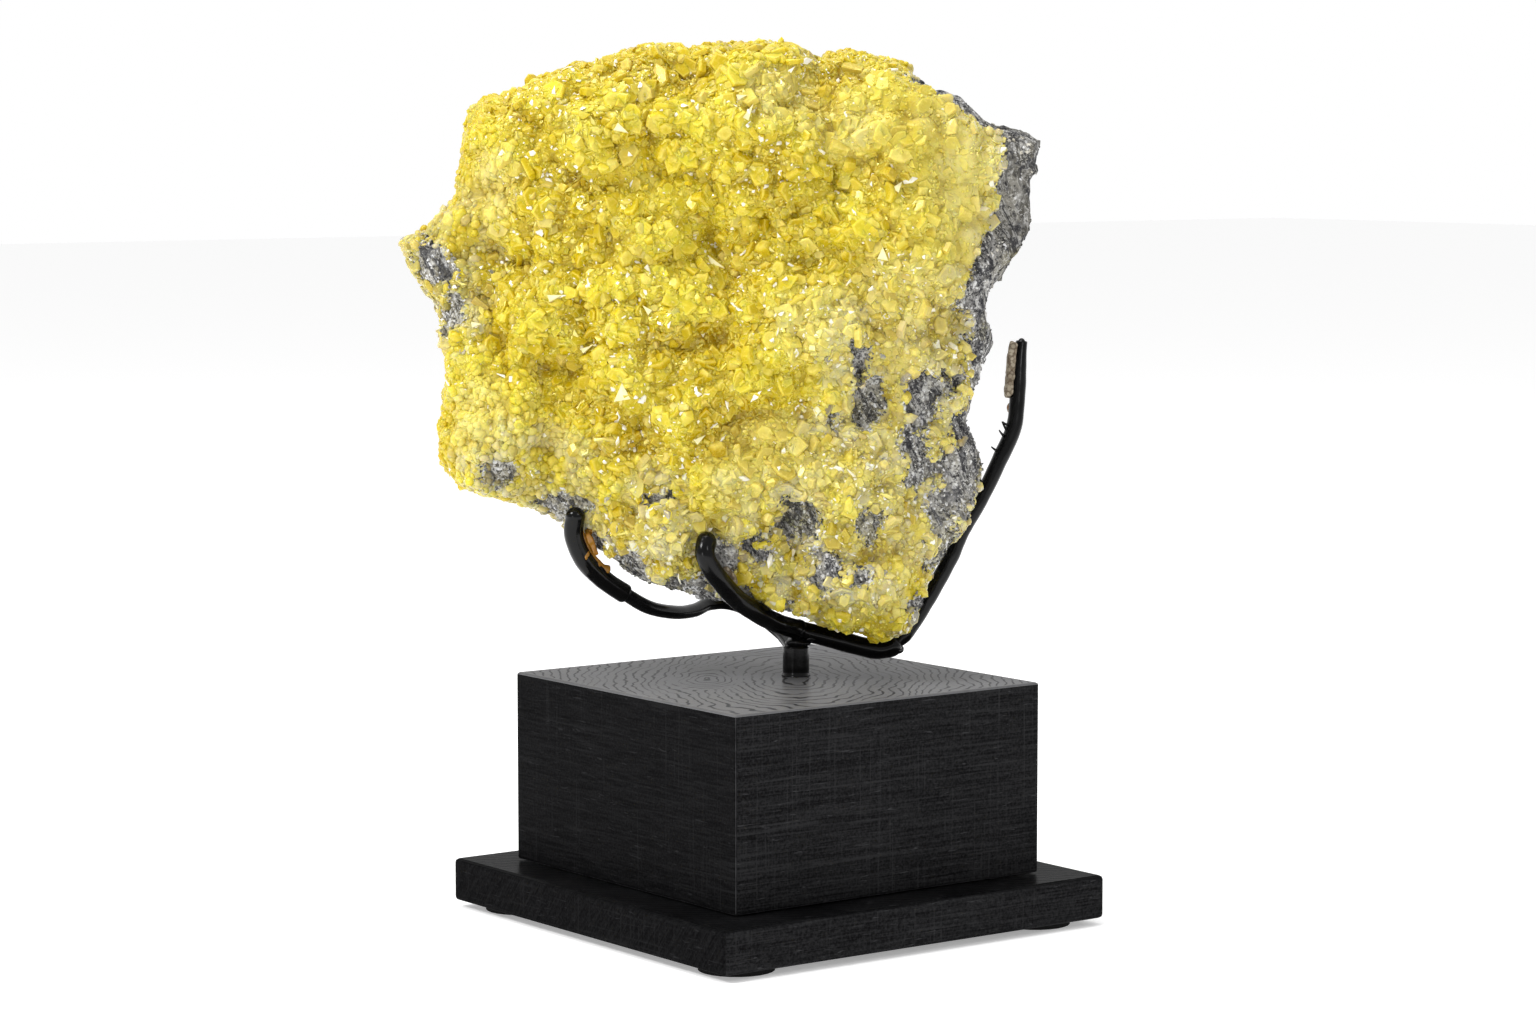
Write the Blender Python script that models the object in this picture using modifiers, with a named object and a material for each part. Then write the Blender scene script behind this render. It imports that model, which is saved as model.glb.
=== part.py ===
"""Native sulfur crystals on grey marl, held by bent steel rods on a square black wooden base.

Sizes are in metres, +Z up. The base, the post and the feet stand square to the axes. The specimen
and the rods that hold it are modelled in the claw's own frame, which is turned about the post:
x runs along the specimen's face to its right, y runs away behind it and z is up.
"""
import math

import bmesh
import bpy
import numpy as np
from mathutils import Matrix, Vector

MM = 0.001
FIT = 0.3 * MM                     # gap kept between pieces that touch

# Base, square to the axes
BASE_CENTRE = (7.5 * MM, -1.1 * MM)
FOOT_RADIUS = 11 * MM
FOOT_HEIGHT = 2 * MM               # table to the underside of the plate
FOOT_INSET = 15 * MM               # foot's centre from the plate's sides
PLATE_SIDE = 140 * MM
PLATE_HEIGHT = 13 * MM
PLATE_ROUND = 1.3 * MM
BLOCK_SIDE = 112 * MM
BLOCK_TOP = 72.5 * MM
BLOCK_ROUND = 0.8 * MM

# Post, which stands in a drilled hole
POST_RADIUS = 4 * MM
POST_OFFSET = (7 * MM, -1 * MM)    # from the base's centre
POST_IN_BLOCK = 30 * MM
POST_TOP = 81.7 * MM               # just under the sleeves that cross it
HOLE_RADIUS = 4.4 * MM
CLAW_TURN = math.radians(-36.8)

# Rods, in the claw's frame, in millimetres
ROD_RADIUS = 2.0 * MM
SLEEVE_RADIUS = 2.95 * MM
SLEEVE_BORE = 2.3 * MM
TAIL_RADIUS = 2.4 * MM             # long arm, thickened by its dipped coating
ROD_STEP = 5.4 * MM                # length of one straight stretch of a bent rod
SEAM_GAP = 1.8 * MM                # between the two sleeves over the post
TIP_LENGTH = 0.8 * MM              # a rounded end narrows over this length
TIP_SIZE = 0.62                    # to this share of its radius
SLEEVE_COVER = 1.5 * MM            # a closed sleeve reaches past its rod by this much
LONG_ROD = [
    (-26.4, -28.7, 116.0), (-26.8, -30.6, 112.6), (-25.2, -29.6, 108.6), (-22.5, -27.0, 104.4),
    (-17.8, -21.5, 98.4), (-12.4, -17.3, 94.1), (-6.0, -9.2, 89.6), (1.2, 0.0, 86.2),
    (12.0, 0.5, 83.4), (19.9, 1.5, 81.1), (25.2, 3.0, 80.0), (30.5, 5.5, 82.0),
    (35.5, 7.2, 87.6), (41.0, 8.5, 96.6), (46.6, 9.5, 106.9), (50.5, 10.5, 115.6),
    (56.9, 12.5, 126.6), (61.8, 14.5, 136.6), (65.9, 17.0, 145.4), (67.1, 19.0, 153.1),
    (67.9, 22.0, 164.2), (68.7, 24.0, 171.6),
]
LONG_ROD_SEAM = 7                  # point at the post, where two sleeves meet
LONG_ROD_BEND = 11                 # point at which the bar's sleeve ends
LEFT_ROD = [
    (-0.8, 4.6, 80.0), (-4.5, 15.0, 83.4), (-12.0, 25.0, 88.0), (-20.0, 29.0, 90.8),
    (-26.5, 26.0, 91.0), (-30.9, 19.0, 89.9), (-36.5, 10.0, 90.4), (-44.1, 0.0, 93.1),
    (-51.3, -8.0, 98.3), (-57.6, -14.0, 103.5), (-62.7, -18.5, 109.6), (-65.5, -21.5, 117.1),
    (-65.0, -22.9, 122.7),
]
LEFT_SLEEVE_FROM = 8
# Pads: name, centre, direction of the arm, direction of the stone, thickness, width and length
PADS = [
    ("front_pad", (-20.0, -20.9, 104.0), (-0.45, -0.5, 0.74), (0.07, 0.82, 0.57), (1.8, 4.5, 9.0)),
    ("left_pad", (-60.5, -19.8, 114.9), (-0.33, -0.36, 0.87), (0.86, 0.04, 0.45), (1.7, 4.5, 8.0)),
    ("back_pad", (63.6, 21.2, 159.5), (0.08, 0.25, 0.97), (-1.0, 0.0, 0.1), (3.0, 7.0, 14.0)),
]
PAD_ROUND = 0.6 * MM

# Specimen, in the claw's frame, in millimetres
HEART = (-19.0, 181.0)             # middle of the face
OUTLINE = [
    (74.0, 232.6), (61.6, 237.6), (33.7, 252.5), (15.0, 258.6), (6.1, 256.6), (-2.5, 260.4),
    (-22.3, 261.3), (-31.5, 258.6), (-44.5, 260.7), (-59.0, 256.0), (-67.3, 255.0), (-81.0, 247.7),
    (-92.6, 244.2), (-96.4, 237.0), (-100.3, 228.0), (-100.0, 216.0), (-108.4, 205.6),
    (-117.0, 203.4), (-112.0, 191.5), (-106.7, 185.2), (-105.6, 176.6), (-103.8, 169.0),
    (-104.4, 160.6), (-105.4, 154.0), (-106.0, 138.0), (-99.5, 130.5), (-88.0, 127.0),
    (-78.4, 123.5), (-71.3, 119.6), (-57.5, 110.4), (-38.4, 99.2), (-22.5, 95.0), (-12.6, 93.4),
    (-5.0, 92.0), (3.6, 89.9), (12.0, 88.3), (20.0, 86.4), (26.5, 84.6), (31.0, 83.6), (34.4, 85.4),
    (38.2, 93.0), (39.8, 102.5), (55.2, 129.5), (55.8, 136.0), (51.8, 149.0), (54.4, 160.0),
    (59.2, 173.5), (57.4, 182.5), (58.9, 189.4), (71.6, 206.3), (72.2, 220.0),
]
FRONT_DEPTH = 27.0
LEAST_BACK = 12.0
FRONT_EDGE = 4.0                   # exponent of the rounding towards the rim
BACK_EDGE = 4.5
CRUST_INSET = 1.3                  # rock's rim lies this far inside the crystals' outline
# Broken faces of the back: depth behind the heart, and how much they rise towards +x and +z
BACK_BREAKS = [
    (33.0, 0.04, 0.10), (41.0, 0.46, -0.10), (45.0, -0.42, 0.06), (47.0, 0.05, -0.44),
    (46.0, 0.10, 0.50), (58.0, 0.62, -0.52), (60.0, -0.52, 0.60), (62.0, -0.50, -0.50),
]
# Swellings (positive) and hollows (negative) of the front: x, z, radius, height
FRONT_FORMS = [
    (-78.0, 225.0, 24.0, 3.5), (-50.0, 236.0, 20.0, 3.0), (-12.0, 236.0, 17.0, 4.5),
    (9.0, 246.0, 10.0, -6.0), (12.0, 220.0, 12.0, -6.5), (29.0, 236.0, 16.0, 4.5),
    (31.0, 212.0, 14.0, 4.0), (-22.0, 200.0, 13.0, -6.0), (-4.0, 190.0, 15.0, 3.0),
    (-56.0, 205.0, 16.0, 3.0), (-88.0, 196.0, 13.0, -7.0), (-104.0, 194.0, 11.0, 4.0),
    (-45.0, 172.0, 15.0, 3.5), (-66.0, 165.0, 11.0, -4.0), (-90.0, 150.0, 20.0, 5.0),
    (-18.0, 165.0, 18.0, 4.5), (-30.0, 140.0, 22.0, 3.5), (10.0, 175.0, 14.0, 3.5),
    (22.0, 158.0, 12.0, -5.0), (40.0, 157.0, 14.0, -4.0), (36.0, 134.0, 12.0, -4.0),
    (22.0, 128.0, 12.0, 4.5), (-1.0, 118.0, 11.0, -4.5), (14.0, 102.0, 12.0, 3.0),
    (-52.0, 122.0, 14.0, 3.0), (66.0, 215.0, 20.0, -15.0), (60.0, 245.0, 16.0, -8.0),
    (56.0, 170.0, 16.0, -7.0), (46.0, 190.0, 16.0, 3.5), (48.0, 136.0, 12.0, -6.0),
]
BACK_FORMS = [
    (-80.0, 205.0, 20.0, -4.0), (-30.0, 230.0, 22.0, 3.0), (30.0, 205.0, 20.0, 3.0),
    (-50.0, 165.0, 18.0, 3.5), (5.0, 160.0, 18.0, -4.0), (-10.0, 120.0, 16.0, -3.0),
]
# Bare rock between the crystals on the front: x, z, radius
BARE_ROCK = [
    (39.0, 163.0, 8.0), (40.0, 150.0, 7.0), (55.0, 158.0, 8.0), (53.0, 133.0, 9.0),
    (2.0, 112.0, 8.0), (12.0, 98.0, 5.0), (-12.0, 97.0, 6.0), (35.0, 88.0, 6.0),
    (-86.0, 134.0, 7.0), (-70.0, 125.0, 6.0), (-112.0, 197.0, 8.0), (67.0, 220.0, 11.0),
    (62.0, 195.0, 9.0),
]
ROCK_CUTS = 14                     # rows and columns of the rock's front and back grids
ROCK_SIDE_CUTS = 4                 # rows round its rim
LARGE_CRYSTALS = {"spacing": 14.5, "size": (6.5, 10.0), "face_only": 0.75, "clear": 12.0}
SMALL_CRYSTALS = {"spacing": 8.8, "size": (3.8, 5.8), "face_only": -1.0, "clear": 8.5}
SITE_TRIALS = 12000
CRUST_BACK = 10.0                  # crystals reach this far round the rim, in y


def clear_scene():
    """Remove every object."""
    for obj in list(bpy.data.objects):
        bpy.data.objects.remove(obj, do_unlink=True)


def make_collection(name):
    """Collection linked to the scene."""
    collection = bpy.data.collections.new(name)
    bpy.context.scene.collection.children.link(collection)
    return collection


def make_material(name, colour, roughness, metallic=0.0):
    """Principled material of one colour."""
    material = bpy.data.materials.new(name)
    material.use_nodes = True
    shader = material.node_tree.nodes["Principled BSDF"]
    shader.inputs["Base Color"].default_value = (*colour, 1.0)
    shader.inputs["Roughness"].default_value = roughness
    shader.inputs["Metallic"].default_value = metallic
    return material


def add_object(name, mesh, material, collection, parent=None, location=(0, 0, 0)):
    """Object for a mesh, with its material, place and parent."""
    obj = bpy.data.objects.new(name, mesh)
    if material is not None:
        mesh.materials.clear()
        mesh.materials.append(material)
    obj.location = location
    obj.parent = parent
    collection.objects.link(obj)
    return obj


def mark_cutter(obj):
    """Leave a cutter or a guide out of the built part."""
    obj.hide_render = True
    obj.display_type = "WIRE"


def mesh_from(build):
    """Mesh filled by build(bm)."""
    bm = bmesh.new()
    build(bm)
    mesh = bpy.data.meshes.new("shape")
    bm.to_mesh(mesh)
    bm.free()
    return mesh


def box_mesh(width, depth, height):
    """Box centred on the origin."""
    size = Matrix.Diagonal((width, depth, height, 1.0))
    return mesh_from(lambda bm: bmesh.ops.create_cube(bm, size=1.0, matrix=size))


def cylinder_mesh(radius, height, sides):
    """Upright cylinder centred on the origin, smooth on its round side."""
    mesh = mesh_from(lambda bm: bmesh.ops.create_cone(
        bm, cap_ends=True, segments=sides, radius1=radius, radius2=radius, depth=height))
    mesh.shade_smooth()
    mesh.set_sharp_from_angle(angle=math.radians(40))
    return mesh


def round_edges(obj, width, segments=2):
    """Bevel modifier on the edges of a box or a disc."""
    bevel = obj.modifiers.new("round_edges", "BEVEL")
    bevel.width = width
    bevel.segments = segments
    bevel.limit_method = "ANGLE"
    bevel.angle_limit = math.radians(50)


def boolean(obj, other, operation, itself=False):
    """Boolean modifier with the exact solver."""
    modifier = obj.modifiers.new(operation.lower(), "BOOLEAN")
    modifier.operation = operation
    modifier.solver = "EXACT"
    modifier.use_self = itself
    modifier.object = other


# --- base -----------------------------------------------------------------------------------

def build_base(parts, cutters, frame, wood, felt):
    """Square plate on four low feet, and the block with the post's hole."""
    plate = add_object("base_plate", box_mesh(PLATE_SIDE, PLATE_SIDE, PLATE_HEIGHT), wood, parts,
                       frame, (0, 0, FOOT_HEIGHT + PLATE_HEIGHT / 2))
    round_edges(plate, PLATE_ROUND)

    block_foot = FOOT_HEIGHT + PLATE_HEIGHT + FIT
    block_height = BLOCK_TOP - block_foot
    block = add_object("base_block", box_mesh(BLOCK_SIDE, BLOCK_SIDE, block_height), wood, parts,
                       frame, (0, 0, block_foot + block_height / 2))
    round_edges(block, BLOCK_ROUND)
    hole_top = BLOCK_TOP + 2 * MM
    hole_foot = BLOCK_TOP - POST_IN_BLOCK - FIT
    drill = add_object("post_hole", cylinder_mesh(HOLE_RADIUS, hole_top - hole_foot, 24), None,
                       cutters, frame, (*POST_OFFSET, (hole_top + hole_foot) / 2))
    mark_cutter(drill)
    boolean(block, drill, "DIFFERENCE")

    reach = PLATE_SIDE / 2 - FOOT_INSET
    corners = {"front": (-1, -1), "right": (1, -1), "back": (1, 1), "left": (-1, 1)}
    for name, (side_x, side_y) in corners.items():
        foot_height = FOOT_HEIGHT - FIT
        add_object("foot_" + name, cylinder_mesh(FOOT_RADIUS, foot_height, 24), felt, parts,
                   frame, (side_x * reach, side_y * reach, foot_height / 2))


# --- rods -----------------------------------------------------------------------------------

def smooth_path(points, step):
    """Even points in metres along the Catmull-Rom curve through points given in millimetres."""
    given = np.array(points) * MM
    ends = np.vstack([2 * given[0] - given[1], given, 2 * given[-1] - given[-2]])
    t = np.linspace(0, 1, 24, endpoint=False)[:, None]
    dense = []
    for a, b, c, d in zip(ends[:-3], ends[1:-2], ends[2:-1], ends[3:]):
        dense.append(0.5 * (2 * b + (c - a) * t + (2 * a - 5 * b + 4 * c - d) * t ** 2
                            + (3 * b - a - 3 * c + d) * t ** 3))
    dense = np.vstack(dense + [given[-1:]])
    run = np.concatenate([[0], np.cumsum(np.linalg.norm(np.diff(dense, axis=0), axis=1))])
    count = max(3, round(run[-1] / step) + 1)
    even = np.linspace(0, run[-1], count)
    return np.column_stack([np.interp(even, run, dense[:, k]) for k in range(3)])


def nearest(path, place):
    """Index of the path's point nearest to a place given in millimetres."""
    return int(np.argmin(np.linalg.norm(path - np.array(place) * MM, axis=1)))


def grow_ends(path, before, after):
    """Path with its ends moved outwards along themselves."""
    path = path.copy()
    first = path[0] - path[1]
    last = path[-1] - path[-2]
    path[0] += before * first / np.linalg.norm(first)
    path[-1] += after * last / np.linalg.norm(last)
    return path


def tube_mesh(path, radius, round_start=False, round_end=False, thick_from=None):
    """Closed eight-sided tube along a path, with an end drawn in where it is rounded, and
    thickened to the tail's radius after one of its points."""
    curve = bpy.data.curves.new("tube", "CURVE")
    curve.dimensions = "3D"
    curve.bevel_depth = radius
    curve.bevel_resolution = 2
    curve.use_fill_caps = True
    points = [tuple(p) for p in path]
    sizes = [1.0] * len(points)
    if thick_from is not None:
        sizes[thick_from:] = [TAIL_RADIUS / radius] * (len(points) - thick_from)
    if round_start:
        points.insert(1, tuple(grow_ends(path, -TIP_LENGTH, 0)[0]))
        sizes.insert(0, TIP_SIZE)
    if round_end:
        points.insert(-1, tuple(grow_ends(path, 0, -TIP_LENGTH)[-1]))
        sizes.append(TIP_SIZE * sizes[-1])
    spline = curve.splines.new("POLY")
    spline.points.add(len(points) - 1)
    for point, place, size in zip(spline.points, points, sizes):
        point.co = (*place, 1.0)
        point.radius = size
    holder = bpy.data.objects.new("tube", curve)
    bpy.context.scene.collection.objects.link(holder)
    depsgraph = bpy.context.evaluated_depsgraph_get()
    mesh = bpy.data.meshes.new_from_object(holder.evaluated_get(depsgraph))
    bpy.data.objects.remove(holder, do_unlink=True)
    bpy.data.curves.remove(curve)
    bm = bmesh.new()
    bm.from_mesh(mesh)
    bmesh.ops.remove_doubles(bm, verts=bm.verts, dist=1e-6)
    bmesh.ops.recalc_face_normals(bm, faces=bm.faces)
    bm.to_mesh(mesh)
    bm.free()
    mesh.shade_smooth()
    mesh.set_sharp_from_angle(angle=math.radians(50))
    return mesh


def build_sleeve(name, path, parts, cutters, claw, rubber, closed_start=False, closed_end=False):
    """Rubber sleeve round a rod: a tube less a bore, closed where it covers the rod's end."""
    outer = grow_ends(path, SLEEVE_COVER if closed_start else 0,
                      SLEEVE_COVER if closed_end else 0)
    bore = grow_ends(path, FIT if closed_start else 2 * MM, FIT if closed_end else 2 * MM)
    sleeve = add_object(name, tube_mesh(outer, SLEEVE_RADIUS, closed_start, closed_end), rubber,
                        parts, claw)
    cutter = add_object(name + "_bore", tube_mesh(bore, SLEEVE_BORE), None, cutters, claw)
    mark_cutter(cutter)
    boolean(sleeve, cutter, "DIFFERENCE")


def build_holder(parts, cutters, frame, claw, steel, rubber):
    """Post, the long rod over it from front tip to back tip, the left rod, and their sleeves."""
    post_foot = BLOCK_TOP - POST_IN_BLOCK
    post = add_object("post", cylinder_mesh(POST_RADIUS, POST_TOP - post_foot, 20), steel, parts,
                      frame, (*POST_OFFSET, (POST_TOP + post_foot) / 2))
    round_edges(post, 0.4 * MM, 1)

    long_path = smooth_path(LONG_ROD, ROD_STEP)
    seam = nearest(long_path, LONG_ROD[LONG_ROD_SEAM])
    bend = nearest(long_path, LONG_ROD[LONG_ROD_BEND])
    long_rod = tube_mesh(long_path, ROD_RADIUS, round_end=True, thick_from=bend + 1)
    add_object("long_rod", long_rod, steel, parts, claw)
    build_sleeve("front_sleeve", long_path[:seam + 1], parts, cutters, claw, rubber,
                 closed_start=True)
    bar_path = grow_ends(long_path[seam:bend + 1], -SEAM_GAP, 0)
    build_sleeve("bar_sleeve", bar_path, parts, cutters, claw, rubber)

    left_path = smooth_path(LEFT_ROD, ROD_STEP)
    start = nearest(left_path, LEFT_ROD[LEFT_SLEEVE_FROM])
    add_object("left_rod", tube_mesh(left_path, ROD_RADIUS), steel, parts, claw)
    build_sleeve("left_sleeve", left_path[start:], parts, cutters, claw, rubber, closed_end=True)


def build_pads(parts, claw, cork):
    """Rounded strips of cork and glue between the arms and the stone."""
    for name, centre, along, towards, size in PADS:
        z = Vector(along).normalized()
        y = z.cross(Vector(towards)).normalized()
        turn = Matrix((y.cross(z), y, z)).transposed().to_4x4()
        mesh = box_mesh(*[side * MM for side in size])
        pad = add_object(name, mesh, cork, parts, claw)
        pad.matrix_local = Matrix.Translation(Vector(centre) * MM) @ turn
        round_edges(pad, PAD_ROUND)


# --- specimen -------------------------------------------------------------------------------

def lattice_noise(points, cell, seed):
    """Smooth noise in -1..1: random values on a cubic lattice, blended within each cell."""
    places = np.asarray(points) / cell
    corner = np.floor(places).astype(np.int64)
    part = places - corner
    part = part * part * (3 - 2 * part)
    total = np.zeros(len(places))
    for offset in np.ndindex(2, 2, 2):
        spot = corner + offset
        key = spot[:, 0] * 73856093 ^ spot[:, 1] * 19349663 ^ spot[:, 2] * 83492791 ^ seed * 7919
        key = (key * 2654435761) & 0xFFFFFFFF
        key = ((key ^ key >> 15) * 2246822519) & 0xFFFFFFFF
        value = (key ^ key >> 13) / 0xFFFFFFFF * 2 - 1
        weight = np.prod(np.where(offset, part, 1 - part), axis=1)
        total += value * weight
    return total


def outline_radius(angle):
    """Distance from the heart to the outline in each direction, straight between its points."""
    around = np.array(OUTLINE) - HEART
    angles = np.arctan2(around[:, 1], around[:, 0])
    order = np.argsort(angles)
    return np.interp(angle, angles[order], np.hypot(*around[order].T), period=2 * math.pi)


def raised_forms(x, z, forms):
    """Sum of rounded swellings and hollows."""
    total = np.zeros_like(x)
    for form_x, form_z, radius, height in forms:
        total += height * np.exp(-((x - form_x) ** 2 + (z - form_z) ** 2) / (0.72 * radius ** 2))
    return total


def rock_points(cube):
    """Points on a cube of half-side 1, taken to the rock's surface in millimetres.

    A section across y is first made a disc, then drawn out to the outline. Towards the rim both
    faces round off, and swellings and hollows push them in and out.
    """
    a = cube[:, 0] * np.sqrt(1 - cube[:, 2] ** 2 / 2)
    b = cube[:, 2] * np.sqrt(1 - cube[:, 0] ** 2 / 2)
    ring = np.hypot(a, b)
    angle = np.arctan2(b, a)
    side = cube[:, 1]
    edge = np.where(side < 0, FRONT_EDGE, BACK_EDGE)
    size = (ring ** edge + np.abs(side) ** edge) ** (1 / edge)
    ring = ring / size
    side = side / size
    reach = ring * (outline_radius(angle) - CRUST_INSET)
    x = HEART[0] + reach * np.cos(angle)
    z = HEART[1] + reach * np.sin(angle)
    front = FRONT_DEPTH + raised_forms(x, z, FRONT_FORMS)
    back = np.min([depth + rise_x * (x - HEART[0]) + rise_z * (z - HEART[1])
                   for depth, rise_x, rise_z in BACK_BREAKS], axis=0)
    back = np.maximum(back + raised_forms(x, z, BACK_FORMS), LEAST_BACK)
    y = side * np.where(side < 0, front, back)
    places = np.column_stack([x, y, z])
    rough = np.where(side < 0, 1.2, 2.6)
    for k in range(3):
        places[:, k] += rough * 0.6 * lattice_noise(places, 17.0, 10 + k)
        places[:, k] += rough * 0.5 * lattice_noise(places, 8.0, 20 + k)
    return places


def rock_mesh():
    """Cube cut into a grid, finer over its front and back than round its rim, and moulded."""
    bm = bmesh.new()
    bmesh.ops.create_cube(bm, size=2.0)
    for axis, cuts in ((0, ROCK_CUTS - 1), (2, ROCK_CUTS - 1), (1, ROCK_SIDE_CUTS)):
        along = [e for e in bm.edges
                 if abs((e.verts[0].co - e.verts[1].co).normalized()[axis]) > 0.9]
        bmesh.ops.subdivide_edges(bm, edges=along, cuts=cuts, use_grid_fill=True)
    cube = np.array([v.co for v in bm.verts])
    for vertex, place in zip(bm.verts, rock_points(cube) * MM):
        vertex.co = place
    bmesh.ops.recalc_face_normals(bm, faces=bm.faces)
    bmesh.ops.triangulate(bm, faces=bm.faces)
    mesh = bpy.data.meshes.new("rock")
    bm.to_mesh(mesh)
    bm.free()
    return mesh


def crystal_sites(mesh, rods):
    """Places, outward directions and kinds of crystals scattered over the front and the rim.

    Large ones come first and face forwards. Small ones fill in between them and go round the rim.
    All keep off the bare rock and the rods.
    """
    rng = np.random.default_rng(16)
    corners = np.array([[mesh.vertices[i].co for i in f.vertices] for f in mesh.polygons]) / MM
    normals = np.cross(corners[:, 1] - corners[:, 0], corners[:, 2] - corners[:, 0])
    area = np.linalg.norm(normals, axis=1)
    normals = normals / area[:, None]
    chosen = rng.choice(len(area), size=SITE_TRIALS, p=area / area.sum())
    mix = rng.random((SITE_TRIALS, 2))
    root = np.sqrt(mix[:, :1])
    spots = ((1 - root) * corners[chosen, 0] + root * (1 - mix[:, 1:]) * corners[chosen, 1]
             + root * mix[:, 1:] * corners[chosen, 2])
    sites = []
    for kind in (LARGE_CRYSTALS, SMALL_CRYSTALS):
        for spot, normal in zip(spots, normals[chosen]):
            if -normal[1] < kind["face_only"] or normal[1] > 0.3:
                continue
            if spot[1] > (CRUST_BACK if spot[0] < 30.0 else 0.0):
                continue
            if any(math.hypot(spot[0] - x, spot[2] - z) < r for x, z, r in BARE_ROCK):
                continue
            if np.min(np.linalg.norm(rods - spot, axis=1)) < kind["clear"]:
                continue
            gap = kind["spacing"]
            if any(np.linalg.norm(spot - s) < (gap + k["spacing"]) / 2 for s, _, k in sites):
                continue
            sites.append((spot, normal, kind))
    return sites


def crystals_mesh(sites):
    """Crystals sunk into the rock and tilted: large ones are four-sided bipyramids with flatter
    tips, and small ones are four-sided pyramids with their tips cut flat."""
    rng = np.random.default_rng(32)
    bm = bmesh.new()
    for spot, normal, kind in sites:
        size = rng.uniform(*kind["size"]) * MM
        lean = Vector(rng.normal(0, 0.33, 3)) + Vector(normal)
        turn = lean.to_track_quat("Z", "X").to_matrix().to_4x4()
        spin = Matrix.Rotation(rng.uniform(0, math.pi), 4, "Z")
        stretch = Matrix.Diagonal((size * rng.uniform(0.85, 1.2), size * rng.uniform(0.6, 0.9),
                                   size * rng.uniform(0.75, 1.0), 1.0))
        sunk = 0.3 if kind is LARGE_CRYSTALS else 0.1
        place = Matrix.Translation((Vector(spot) - Vector(normal) * sunk * size / MM) * MM)
        place = place @ turn @ spin @ stretch
        if kind is LARGE_CRYSTALS:
            bmesh.ops.create_uvsphere(bm, u_segments=4, v_segments=4, radius=1.0, matrix=place)
        else:
            bmesh.ops.create_cone(bm, cap_ends=True, segments=4, radius1=1.0, radius2=0.45,
                                  depth=1.6, matrix=place)
    mesh = bpy.data.meshes.new("crystals")
    bm.to_mesh(mesh)
    bm.free()
    return mesh


def build_specimen(parts, cutters, claw, sulfur):
    """Rock with its crystals joined to it in one solid."""
    rods = np.vstack([smooth_path(LONG_ROD, 3 * MM), smooth_path(LEFT_ROD, 3 * MM)]) / MM
    rock = add_object("sulfur_specimen", rock_mesh(), sulfur, parts, claw)
    crystals = add_object("crystals", crystals_mesh(crystal_sites(rock.data, rods)), None, cutters,
                          claw)
    mark_cutter(crystals)
    boolean(rock, crystals, "UNION", itself=True)


def main():
    """Build the whole part."""
    clear_scene()
    parts = make_collection("native_sulfur_crystal")
    cutters = make_collection("cutters")
    sulfur = make_material("sulfur", (0.72, 0.62, 0.10), 0.3)
    wood = make_material("black_wood", (0.015, 0.015, 0.017), 0.45)
    felt = make_material("felt", (0.02, 0.02, 0.02), 0.9)
    steel = make_material("black_steel", (0.012, 0.012, 0.013), 0.35)
    rubber = make_material("rubber", (0.010, 0.010, 0.011), 0.4)
    cork = make_material("cork", (0.36, 0.24, 0.12), 0.8)

    frame = bpy.data.objects.new("stand", None)
    frame.location = (*BASE_CENTRE, 0)
    parts.objects.link(frame)
    claw = bpy.data.objects.new("claw", None)
    claw.parent = frame
    claw.location = (*POST_OFFSET, 0)
    claw.rotation_euler = (0, 0, CLAW_TURN)
    parts.objects.link(claw)
    bpy.context.view_layer.update()

    build_base(parts, cutters, frame, wood, felt)
    build_holder(parts, cutters, frame, claw, steel, rubber)
    build_pads(parts, claw, cork)
    build_specimen(parts, cutters, claw, sulfur)


main()
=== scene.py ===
"""Dresses the sulfur specimen and its stand: a crust of translucent crystals on grey marl, sleeved
steel rods with cork strips, and a stained black wooden base.

Lengths are metres in the row frame. Shapes of the stone and the rods are worked out in
millimetres in the claw's frame, which is turned about the post: x runs along the stone's face to
its right, y runs away behind it and z is up.
"""
import math

import bpy
import numpy as np
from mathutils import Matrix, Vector


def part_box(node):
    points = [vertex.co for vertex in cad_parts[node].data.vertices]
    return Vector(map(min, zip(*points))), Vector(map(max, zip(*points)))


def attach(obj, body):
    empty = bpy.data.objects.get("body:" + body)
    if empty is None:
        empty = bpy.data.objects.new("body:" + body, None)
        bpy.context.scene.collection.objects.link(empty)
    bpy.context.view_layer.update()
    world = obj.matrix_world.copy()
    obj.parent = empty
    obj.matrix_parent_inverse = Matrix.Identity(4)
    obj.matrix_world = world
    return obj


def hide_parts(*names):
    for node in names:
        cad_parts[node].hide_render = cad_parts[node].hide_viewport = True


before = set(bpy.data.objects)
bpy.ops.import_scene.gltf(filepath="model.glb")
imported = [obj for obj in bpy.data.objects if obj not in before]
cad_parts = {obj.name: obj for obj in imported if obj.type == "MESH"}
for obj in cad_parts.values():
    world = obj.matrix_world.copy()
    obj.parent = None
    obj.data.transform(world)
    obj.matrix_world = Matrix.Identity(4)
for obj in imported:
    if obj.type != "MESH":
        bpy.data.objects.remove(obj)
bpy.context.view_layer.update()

MM = 0.001

# Places, from the frame
PLATE_LOW, PLATE_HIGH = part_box("base_plate")
BLOCK_LOW, BLOCK_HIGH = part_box("base_block")
POST_LOW, POST_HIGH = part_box("post")
BASE_CENTRE = np.array((PLATE_LOW + PLATE_HIGH) / 2)
POST_CENTRE = np.array((POST_LOW + POST_HIGH) / 2)
POST_RADIUS = (POST_HIGH.x - POST_LOW.x) / 2
CLAW_TURN = math.radians(-36.8)

# Camera
CAMERA_TURN = math.radians(-36.79)
CAMERA_DISTANCE = 1.2025           # from the base's centre, level
CAMERA_SIDESTEP = -0.0022
CAMERA_HEIGHT = 0.2399
CAMERA_PITCH = math.radians(5.59)
LENS = 94.85                       # millimetres, on a 36 mm sensor

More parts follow.
